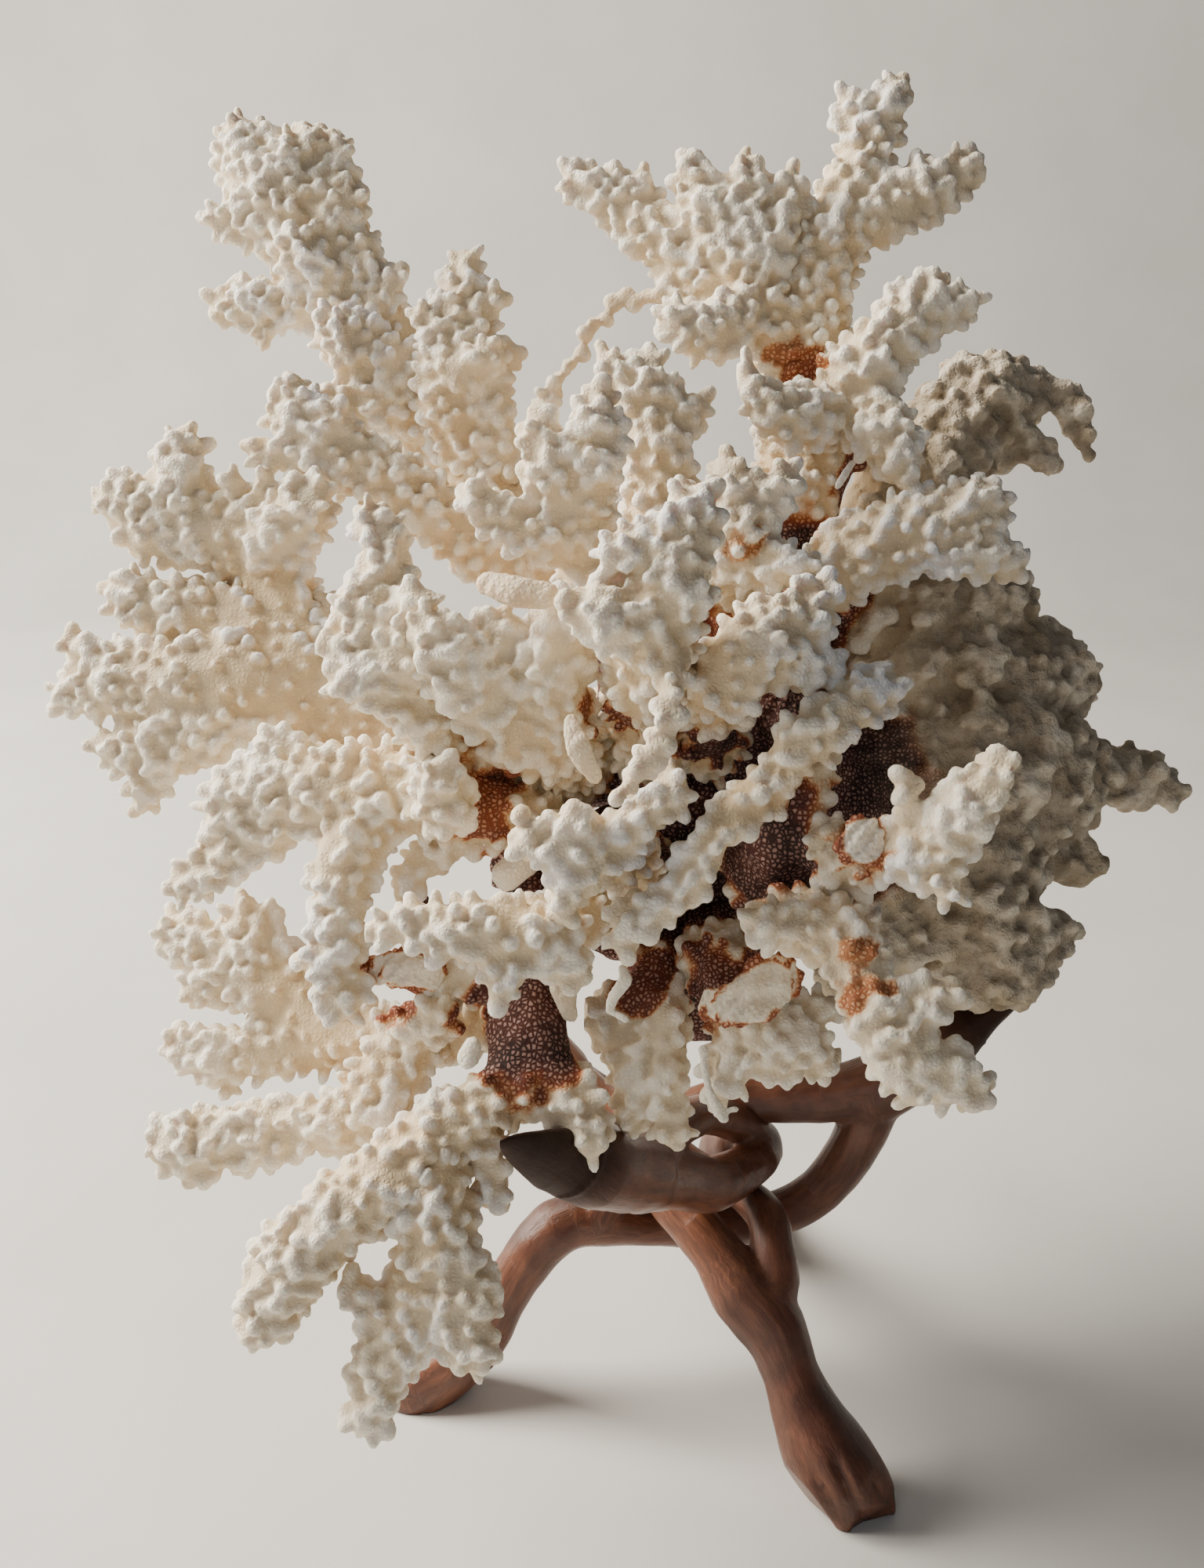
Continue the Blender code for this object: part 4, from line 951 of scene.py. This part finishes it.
def pocked(mesh, depth, spacing, seed):
    """Sink rounded pits of many sizes into a weathered skin."""
    draw = np.random.default_rng(seed)
    places = places_of(mesh)
    order = draw.permutation(len(places))
    picks = order[spaced(places[order], draw.uniform(*spacing, size=len(places)))]
    sizes = draw.uniform(*PIT_SIZES, size=len(picks)) * spacing[0]
    sink = np.zeros(len(places))
    tree = KDTree(len(places))
    for index, place in enumerate(places.tolist()):
        tree.insert(place, index)
    tree.balance()
    for pick, size in zip(picks, sizes):
        near = np.array([found[1] for found in tree.find_range(places[pick].tolist(), size)])
        far = np.linalg.norm(places[near] - places[pick], axis=1)
        bowl = np.clip(1.0 - (far / size) ** 2, 0.0, 1.0) * depth * (0.4 + 0.6 * size / spacing[1])
        sink[near] = np.maximum(sink[near], bowl)
    set_places(mesh, pushed(mesh, -sink))
    return mesh


def store(mesh, name, values):
    layer = mesh.attributes.new(name, "FLOAT", "POINT")
    layer.data.foreach_set("value", values.astype(np.float32))


def finished(name, mesh, material, box):
    """A piece in metres, kept inside a box."""
    set_places(mesh, np.clip(places_of(mesh) * MM, np.array(box[0]), np.array(box[1])))
    mesh.polygons.foreach_set("use_smooth", np.ones(len(mesh.polygons), dtype=bool))
    mesh.materials.append(material)
    obj = placed(bpy.data.objects.new(name, mesh))
    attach(obj, "root")
    return obj


def thinned(mesh, triangles):
    have = len(triangles_of(mesh))
    if have <= triangles:
        return mesh
    settings = {"ratio": triangles / have, "use_collapse_triangulate": True}
    return through_modifiers(mesh, ("DECIMATE", settings))


def wart_skin(name, skeleton, skeletons, seed, worn):
    """The branch's skin with its warts fused to it, in mm."""
    base = through_modifiers(skeleton.skin(), voxels(BASE_VOXEL), easing(3))
    length, height = WORN_WAVE if worn else BRANCH_WAVE
    set_places(base, pushed(base, roll(places_of(base), length, seed) * height))
    if worn:
        base = pocked(base, *WORN_DENTS, seed + 3)
    sizes = WORN_WARTS if worn else (WART_SPACING, WART_RADII, WART_HEIGHTS)
    spots = scatter_warts(name, base, skeleton, skeletons, seed, *sizes)
    base = joined(base, *wart_mesh(*spots, seed + 1))
    mesh = through_modifiers(base, voxels(ROCK_VOXEL if worn else WART_VOXEL), easing(1, 0.35))
    if worn:
        mesh = pocked(mesh, *WORN_PITS, seed + 4)
    return drop_hidden(mesh, name, skeletons, HIDDEN_DEPTH)


def dress(mesh, skeleton, skeletons):
    """Store what the shader needs: brown, rise over the skin (it also places the painted highlight on wart
    tops and painted shade between them), warmth of thin blades, wear.
    """
    places = places_of(mesh)
    height, link, share = skeleton.measure(places, CORAL_MARGIN)
    to_tip = skeleton.to_tip(link, share)
    brown = brownness(skeletons["coral_heart"], places)
    warm = smoothstep(*WARM_REACH, to_tip + roll(places, 25.0, 12) * 8.0)
    warm = warm * (1.0 - 0.4 * smoothstep(0.7, 0.95, skeleton.flat(link)))
    store(mesh, "brown", brown)
    store(mesh, "rise", smoothstep(-0.4, 3.2, height))
    store(mesh, "warm", warm)
    store(mesh, "worn", wornness(places))


# Stand

TOE_GROOVES = (
    ((47.3, -60.7, 2.0), (37.8, -56.2, 22.0), 1.4, 1.1),
    ((56.3, -55.5, 2.0), (47.9, -57.9, 16.0), 1.4, 1.1),
    ((41.2, -60.7, 2.0), (32.3, -53.5, 17.0), 0.9, 1.0),
)

# Flat faces that each foot is trimmed to: outward direction, and how far out from the middle of the feet
FOOT_TRIMS = {
    "stand_front_leg": (((-0.853, -0.521, -0.5), -2.7), ((0.412, -0.911, -0.25), 73.4),
                        ((1.0, 0.0, -0.2), 57.0)),
    "stand_left_leg": (((-1.0, 0.05, -0.3), 83.5), ((-0.35, -0.93, -0.3), 44.5), ((-0.3, 0.95, -0.3), 22.0)),
    "stand_rear_leg": (((0.2, 0.98, -0.3), 86.0), ((0.95, 0.2, -0.3), 51.5), ((-0.95, 0.2, -0.3), -5.0)),
}
TRIM_HEIGHT = 26.0

# Leaf ends of the arms: the direction that each is thinned along, and its thinness
LEAVES = {
    "stand_left_leg": ((0.65, 0.0, -0.76), 0.6),
    "stand_front_leg": ((-0.5, 0.5, -0.7), 0.6),
    "stand_rear_leg": ((0.0, -0.94, 0.34), 0.5),
}
LEAF_LENGTH = 46.0
LEAF_SHADE_REACH = (34.0, 50.0)              # the leaf's painted shade fades out this far from its tip


def trimmed(places, name):
    """Flatten the foot's end against its trimming faces."""
    middle = np.array([*STAND_MIDDLE, 0.0])
    for way, offset in FOOT_TRIMS[name]:
        out = (places - middle) @ np.array(way) - offset
        length = np.linalg.norm(way)
        over = np.clip(out, 0.0, None) * (places[:, 2] < TRIM_HEIGHT)
        places = places - np.outer(over / length ** 2, way)
    return places


def leafed(places, name, skeleton):
    """Thin the arm's end to a leaf with a crisp rim."""
    way, thin = LEAVES[name]
    _, link, share = skeleton.measure(places, STAND_MARGIN)
    to_tip = skeleton.to_tip(link, share)
    ours = skeleton.in_last_run(link) & (to_tip < LEAF_LENGTH)
    tangent = skeleton.tangent(link)
    flatwise = unit(np.array(way) - tangent * (tangent @ np.array(way))[:, None])
    offset = places - skeleton.middles(link, share)
    along = np.sum(offset * flatwise, axis=1)
    fade = smoothstep(LEAF_LENGTH, LEAF_LENGTH * 0.6, to_tip) * ours
    return places - flatwise * (along * (1.0 - thin) * fade)[:, None]


def grooved(mesh, grooves):
    """Carve V grooves along lines, each given as its ends, depth and half width."""
    places = places_of(mesh)
    sink = np.zeros(len(places))
    for start, end, depth, width in grooves:
        start = np.array(start) + np.array([*STAND_MIDDLE, 0.0])
        run = np.array(end) + np.array([*STAND_MIDDLE, 0.0]) - start
        offset = places - start
        t = np.clip(offset @ run / (run @ run), 0.0, 1.0)
        far = np.linalg.norm(offset - np.outer(t, run), axis=1)
        sideways = np.cross(run, SIGHT_TOWARD)
        side = np.abs(offset @ (sideways / np.linalg.norm(sideways)))
        fade = smoothstep(0.0, 0.25, t) * (1.0 - smoothstep(0.75, 1.0, t))
        sink = np.maximum(sink, depth * fade * np.clip(1.0 - side / (width * 2.0), 0.0, 1.0) * (far < 9.0))
    set_places(mesh, pushed(mesh, -sink))
    return mesh


def stand_skin(name, skeleton, seed):
    mesh = through_modifiers(skeleton.skin(), voxels(STAND_VOXEL), easing(8))
    length, height = STAND_WAVE
    places = pushed(mesh, STAND_GROWTH + roll(places_of(mesh), length, seed) * height)
    set_places(mesh, trimmed(leafed(places, name, skeleton), name))
    return mesh


def dress_wood(mesh, skeleton, seed):
    """Store how far each place is along its leg and round it, for the grain."""
    places = places_of(mesh)
    _, link, share = skeleton.measure(places, STAND_MARGIN)
    along = skeleton.along(link, share)
    offset = places - skeleton.middles(link, share)
    layer = mesh.attributes.new("grain", "FLOAT_VECTOR", "POINT")
    slant = offset[:, 2] * 0.35
    grain = np.column_stack([along * 0.1, offset[:, 0] + slant, offset[:, 1] - slant])
    layer.data.foreach_set("vector", grain.astype(np.float32).ravel())
    # Leaf mask: where the leaf's painted shade goes, and where it is rougher and less shiny
    leaf = skeleton.in_last_run(link) * (1.0 - smoothstep(*LEAF_SHADE_REACH, skeleton.to_tip(link, share)))
    store(mesh, "leaf", leaf)
    store(mesh, "handled", smoothstep(-1.0, 1.0, roll(places, 40.0, seed + 50)))


# Materials

class Graph:
    """Short ways to add nodes to a material."""

    def __init__(self, name):
        old = bpy.data.materials.get(name)
        self.material = bpy.data.materials.new(name) if old is None else old
        self.material.use_nodes = True
        self.tree = self.material.node_tree
        self.tree.nodes.clear()
        self.shader = self.add("ShaderNodeBsdfPrincipled")
        output = self.add("ShaderNodeOutputMaterial")
        self.tree.links.new(self.shader.outputs["BSDF"], output.inputs["Surface"])
        self.place = self.add("ShaderNodeTexCoord").outputs["Object"]

    def add(self, kind, **settings):
        node = self.tree.nodes.new(kind)
        for name, value in settings.items():
            setattr(node, name, value)
        return node

    def put(self, socket, value):
        if isinstance(value, bpy.types.NodeSocket):
            self.tree.links.new(value, socket)
        elif isinstance(value, tuple):
            socket.default_value = linear(value)
        else:
            socket.default_value = value

    def settle(self, node, **settings):
        """Give a node's sockets their values, by names with _ for spaces."""
        for name, value in settings.items():
            self.put(node.inputs[name.replace("_", " ")], value)

    def value(self, name):
        return self.add("ShaderNodeAttribute", attribute_name=name).outputs["Fac"]

    def maths(self, operation, *values):
        node = self.add("ShaderNodeMath", operation=operation)
        for socket, value in zip(node.inputs, values):
            self.put(socket, value)
        return node.outputs[0]

    def mix(self, share, first, second):
        node = self.add("ShaderNodeMix", data_type="RGBA")
        for place, value in ((0, share), (6, first), (7, second)):
            self.put(node.inputs[place], value)
        return node.outputs[2]

    def noise(self, scale, detail=3.0, vector=None, roughness=0.55):
        node = self.add("ShaderNodeTexNoise")
        place = self.place if vector is None else vector
        self.settle(node, Vector=place, Scale=scale, Detail=detail, Roughness=roughness)
        return node.outputs[0]

    def cells(self, scale, feature):
        node = self.add("ShaderNodeTexVoronoi", feature=feature)
        self.settle(node, Vector=self.place, Scale=scale, Randomness=0.72)
        return node.outputs["Distance"]

    def range(self, value, low, high, to_low=0.0, to_high=1.0):
        node = self.add("ShaderNodeMapRange")
        self.settle(node, Value=value, From_Min=low, From_Max=high, To_Min=to_low, To_Max=to_high)
        return node.outputs[0]

    def ramp(self, share, *stops):
        node = self.add("ShaderNodeValToRGB")
        self.put(node.inputs[0], share)
        stripes = node.color_ramp.elements
        while len(stripes) < len(stops):
            stripes.new(0.5)
        for stripe, (place, colour) in zip(stripes, stops):
            stripe.position = place
            stripe.color = linear(colour)
        return node.outputs[0]

    def bump(self, height, distance, strength, under=None):
        node = self.add("ShaderNodeBump")
        self.settle(node, Height=height, Distance=distance, Strength=strength)
        if under is not None:
            self.settle(node, Normal=under)
        return node.outputs[0]


PIT_SCALE = 1000.0 / 1.15             # cups per metre
GRAIN_SCALE = 3200.0

# Heights of the fine relief, in metres
BEAD_RELIEF = (0.00012, 0.0004)
KNOB_RELIEF = (0.0006, 0.0012)
GRAIN_RELIEF = 0.00012
STREAK_RELIEF = 0.0006
FIBRE_RELIEF = 0.00025
CARVING_RELIEF = 0.0012


def coral_material(name, subsurface):
    """Cream skin, paler warts with painted highlight on their tops and painted shade in the hollows between,
    warm thin parts, rust and maroon pitted roots, and a grey weathered side with painted shade in its pits.
    """
    graph = Graph(name)
    brown = graph.value("brown")
    rise = graph.value("rise")
    warm = graph.value("warm")
    worn = graph.value("worn")
    pits = graph.cells(PIT_SCALE, "DISTANCE_TO_EDGE")
    beads = graph.range(pits, 0.07, 0.3)
    mottle = graph.noise(95.0, 4.0)
    blotch = graph.noise(34.0, 3.0)
    cool_sky_highlight = graph.range(graph.noise(22.0, 2.0), 0.5, 0.68)

    low = graph.mix(graph.range(mottle, 0.35, 0.65), CREAM, CREAM_SHADE)
    low = graph.mix(graph.maths("MULTIPLY", warm, graph.range(blotch, 0.3, 0.6, 0.45, 1.0)), low, WARM)
    # Painted highlight and shade: wart tops, by their rise, take a warm white or in noise patches a cool
    # sky-lit white, and the hollows between them keep the darker cream
    high = graph.mix(cool_sky_highlight, WHITE_AND_PAINTED_HIGHLIGHT, COOL_WHITE_AND_SKY_HIGHLIGHT)
    skin = graph.mix(graph.range(rise, 0.1, 0.85), low, high)
    skin = graph.mix(graph.range(beads, 0.0, 1.0, 0.22, 0.0), skin, BEAD_SHADE)

    shade = graph.maths("ADD", brown, graph.range(mottle, 0.3, 0.7, -0.1, 0.1))
    cup = graph.ramp(shade, *CUP_COLOURS)
    wall = graph.ramp(shade, *WALL_COLOURS)
    root = graph.mix(graph.range(beads, 0.15, 0.9), cup, wall)
    colour = graph.mix(graph.range(shade, 0.1, 0.42), skin, root)

    crumbs = graph.noise(160.0, 5.0, roughness=0.65)
    stone = graph.mix(graph.range(crumbs, 0.36, 0.66), STONE_DARK, STONE_PALE)
    stone = graph.mix(graph.range(graph.noise(48.0, 3.0), 0.52, 0.7), stone, STONE_TAN)
    # Painted shade: the pits and low places of the weathered side, by their low rise, are painted darker
    stone = graph.mix(graph.range(rise, 0.0, 0.4, 0.55, 0.0), stone, STONE_PIT_SHADE)
    colour = graph.mix(graph.maths("MULTIPLY", worn, graph.range(brown, 0.3, 0.9, 1.0, 0.35)), colour, stone)

    bead_height = graph.range(brown, 0.1, 0.6, *BEAD_RELIEF)
    cups = graph.bump(beads, bead_height, 0.85)
    knobs = graph.bump(graph.noise(420.0, 4.0), graph.range(worn, 0.0, 1.0, *KNOB_RELIEF),
                       graph.range(worn, 0.0, 1.0, 0.35, 1.0), cups)
    grains = graph.bump(graph.noise(GRAIN_SCALE, 2.0), GRAIN_RELIEF, 0.5, knobs)
    rough = graph.range(rise, 0.0, 1.0, 0.78, 0.6)
    graph.settle(graph.shader, Base_Color=colour, Normal=grains, Roughness=rough, Specular_IOR_Level=0.35)
    graph.settle(graph.shader, Subsurface_Weight=subsurface, Subsurface_Scale=0.0035)
    graph.shader.inputs["Subsurface Radius"].default_value = (1.0, 0.55, 0.28)
    return graph.material


def wood_material():
    """Reddish brown carved wood, darker in patches, polished, with grain along each leg."""
    graph = Graph("carved_wood")
    grain_place = graph.add("ShaderNodeAttribute", attribute_name="grain").outputs["Vector"]
    streaks = graph.noise(0.9, 5.0, grain_place, 0.6)
    fibres = graph.noise(3.2, 4.0, grain_place, 0.7)
    rings = graph.add("ShaderNodeTexWave", wave_type="BANDS", bands_direction="Y", wave_profile="SIN")
    graph.settle(rings, Vector=grain_place, Scale=0.11, Distortion=9.0, Detail=3.0, Detail_Scale=0.7)
    patch = graph.noise(26.0, 3.0)
    colour = graph.ramp(streaks, (0.2, WOOD_DEEP), (0.42, WOOD_RED), (0.6, WOOD_MIDDLE), (0.85, WOOD_PALE))
    shade = graph.noise(14.0, 3.0)
    colour = graph.mix(graph.range(shade, 0.42, 0.62, 0.0, 0.6), colour, WOOD_SHADE)
    colour = graph.mix(graph.range(graph.noise(75.0, 4.0), 0.5, 0.7, 0.0, 0.5), colour, WOOD_LIT)
    colour = graph.mix(graph.range(rings.outputs["Color"], 0.2, 1.0, 0.0, 0.22), colour, WOOD_RING)
    colour = graph.mix(graph.range(fibres, 0.5, 0.75, 0.0, 0.3), colour, WOOD_FIBRE)
    colour = graph.mix(graph.range(patch, 0.55, 0.72, 0.0, 0.8), colour, WOOD_DARK)
    leaf = graph.value("leaf")
    # Painted shade: the leaves, which face away from the light, are painted near-black brown
    colour = graph.mix(graph.maths("MULTIPLY", leaf, 0.88), colour, WOOD_LEAF_SHADE)
    polish = graph.range(graph.value("handled"), 0.0, 1.0, 0.27, 0.44)
    rough = graph.maths("ADD", polish, graph.maths("MULTIPLY", leaf, 0.25))
    shine = graph.range(leaf, 0.0, 1.0, 0.5, 0.2)
    relief = graph.bump(streaks, STREAK_RELIEF, 0.35)
    relief = graph.bump(fibres, FIBRE_RELIEF, 0.5, relief)
    relief = graph.bump(graph.noise(60.0, 2.0), CARVING_RELIEF, 0.35, relief)
    graph.settle(graph.shader, Base_Color=colour, Roughness=rough, Specular_IOR_Level=shine, Normal=relief)
    return graph.material


def add_small_pieces(cream, cad_box):
    """Flakes, a tendril and pale broken faces that lie among the branches."""
    for name, (finish, *runs) in SMALL_PIECES.items():
        skeleton = Skeleton(runs, colony_place, SIGHT_TOWARD)
        mesh = through_modifiers(skeleton.skin(), voxels(SMALL_VOXEL), easing(3))
        wave = roll(places_of(mesh), 5.0, 21) * (1.1 if finish in ("cut", "dark") else 0.25)
        set_places(mesh, pushed(mesh, wave))
        mesh = thinned(mesh, SMALL_TRIANGLES)
        count = len(mesh.vertices)
        brown, rise, warm = FINISHES[finish]
        places = places_of(mesh)
        _, link, share = skeleton.measure(places, 5.0)
        offset = places - skeleton.middles(link, share)
        across = np.linalg.norm(offset - np.outer(offset @ SIGHT_TOWARD, SIGHT_TOWARD), axis=1)
        edge = across / skeleton.rows[link, 6:8].mean(axis=1) + roll(places, 7.0, 22) * 0.15
        rust = RIM_RUST * smoothstep(0.72, 0.98, edge) * (finish == "cut")
        store(mesh, "brown", np.maximum(np.full(count, brown), rust))
        store(mesh, "rise", np.full(count, rise))
        store(mesh, "warm", np.full(count, warm))
        store(mesh, "worn", np.zeros(count))
        finished(name, mesh, cream, cad_box)


# Scene

def add_light(name, place, target, size, power, colour):
    lamp = bpy.data.lights.new(name, "AREA")
    lamp.shape = "RECTANGLE"
    lamp.size = size[0]
    lamp.size_y = size[1]
    lamp.energy = power
    lamp.color = colour
    obj = placed(bpy.data.objects.new(name, lamp))
    obj.location = place
    obj.rotation_euler = (Vector(target) - Vector(place)).to_track_quat("-Z", "Y").to_euler()


# Floor and wall, in metres
FLOOR_FRONT = -1.6
FLOOR_BACK = 0.9
FLOOR_SIDE = 2.4
CURVE = 0.5
CURVE_STEPS = 12
WALL_TOP = 2.2

LENS = 36.0                           # focal length and sensor width, in mm
NEAREST = 0.01


def add_floor():
    """A pale floor that curves up behind the object."""
    shape = bmesh.new()
    profile = [(FLOOR_FRONT, 0.0), (FLOOR_BACK, 0.0)]
    for step in range(1, CURVE_STEPS + 1):
        turn = math.radians(90.0 * step / CURVE_STEPS)
        profile.append((FLOOR_BACK + CURVE * math.sin(turn), CURVE - CURVE * math.cos(turn)))
    profile.append((FLOOR_BACK + CURVE, WALL_TOP))
    rows = [[shape.verts.new((x, y, z)) for y, z in profile] for x in (-FLOOR_SIDE, FLOOR_SIDE)]
    for index in range(len(profile) - 1):
        shape.faces.new((rows[0][index], rows[0][index + 1], rows[1][index + 1], rows[1][index]))
    shape.normal_update()
    mesh = bpy.data.meshes.new("floor")
    shape.to_mesh(mesh)
    shape.free()
    mesh.polygons.foreach_set("use_smooth", np.ones(len(mesh.polygons), dtype=bool))
    graph = Graph("floor_pale")
    tone = graph.noise(9.0, 3.0)
    colour = graph.mix(graph.range(tone, 0.3, 0.7), FLOOR_PALE, FLOOR_SHADE)
    graph.settle(graph.shader, Base_Color=colour, Roughness=0.7)
    mesh.materials.append(graph.material)
    floor = placed(bpy.data.objects.new("floor", mesh))


def add_camera():
    lens = bpy.data.cameras.new("camera")
    lens.lens = LENS
    lens.sensor_width = LENS
    lens.clip_start = NEAREST
    camera = placed(bpy.data.objects.new("camera", lens))
    camera.location = (SIGHT_MIDDLE + SIGHT_TOWARD * SIGHT_DISTANCE) * MM
    camera.rotation_euler = (math.radians(90.0) - SIGHT_PITCH, 0.0, 0.0)
    bpy.context.scene.camera = camera


def add_daylight():
    world = bpy.data.worlds.new("room")
    world.use_nodes = True
    sky = world.node_tree.nodes["Background"]
    sky.inputs[0].default_value = SKY_COLOUR
    sky.inputs[1].default_value = SKY_STRENGTH
    bpy.context.scene.world = world
    for name, settings in LIGHTS.items():
        add_light(name, *settings)


def main():
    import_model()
    cad_box = [list(corner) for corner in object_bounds()]
    skeletons = {}
    for table in (HEART, ROCK, BRANCHES):
        for name, runs in table.items():
            sink = HEART_SINK if table is HEART else WART_SINK
            skeletons[name] = Skeleton(runs, colony_place, SIGHT_TOWARD, sink)
    for name, runs in STAND.items():
        skeletons[name] = Skeleton([(1.0, *points) for points in runs], stand_place, PLUMB)

    skins = {}
    for number, (name, skeleton) in enumerate(skeletons.items()):
        if name in STAND:
            skins[name] = stand_skin(name, skeleton, number)
        elif name in HEART:
            mesh = through_modifiers(skeleton.skin(), voxels(HEART_VOXEL), easing(3))
            length, height = HEART_WAVE
            set_places(mesh, pushed(mesh, roll(places_of(mesh), length, number) * height))
            skins[name] = drop_hidden(mesh, name, skeletons, HIDDEN_DEPTH)
        else:
            skins[name] = wart_skin(name, skeleton, skeletons, SEED + number * 10, name in ROCK)
    areas = {name: areas_of(places_of(mesh), triangles_of(mesh)).sum() for name, mesh in skins.items()}
    share = TRIANGLE_BUDGET / sum(areas.values())
    materials = {
        "coral_cream": coral_material("coral_cream", 0.18),
        "coral_brown": coral_material("coral_brown", 0.0),
        "coral_grey": coral_material("coral_grey", 0.05),
        "carved_wood": wood_material(),
    }
    for number, (name, mesh) in enumerate(skins.items()):
        mesh = thinned(mesh, min(PIECE_BUDGET, int(areas[name] * share)))
        if name == "stand_front_leg":
            mesh = grooved(mesh, TOE_GROOVES)
        if name in STAND:
            slot = "carved_wood"
            dress_wood(mesh, skeletons[name], number)
        else:
            slot = "coral_brown" if name in HEART else "coral_grey" if name in ROCK else "coral_cream"
            dress(mesh, skeletons[name], skeletons)
        if name in HEART:
            brown = np.full(len(mesh.vertices), HEART_BROWN, dtype=np.float32)
            mesh.attributes["brown"].data.foreach_set("value", brown)
        piece = finished("fine_" + name, mesh, materials[slot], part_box(name))
        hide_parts(name)

    add_small_pieces(materials["coral_cream"], cad_box)
    add_floor()
    add_daylight()
    add_camera()


main()
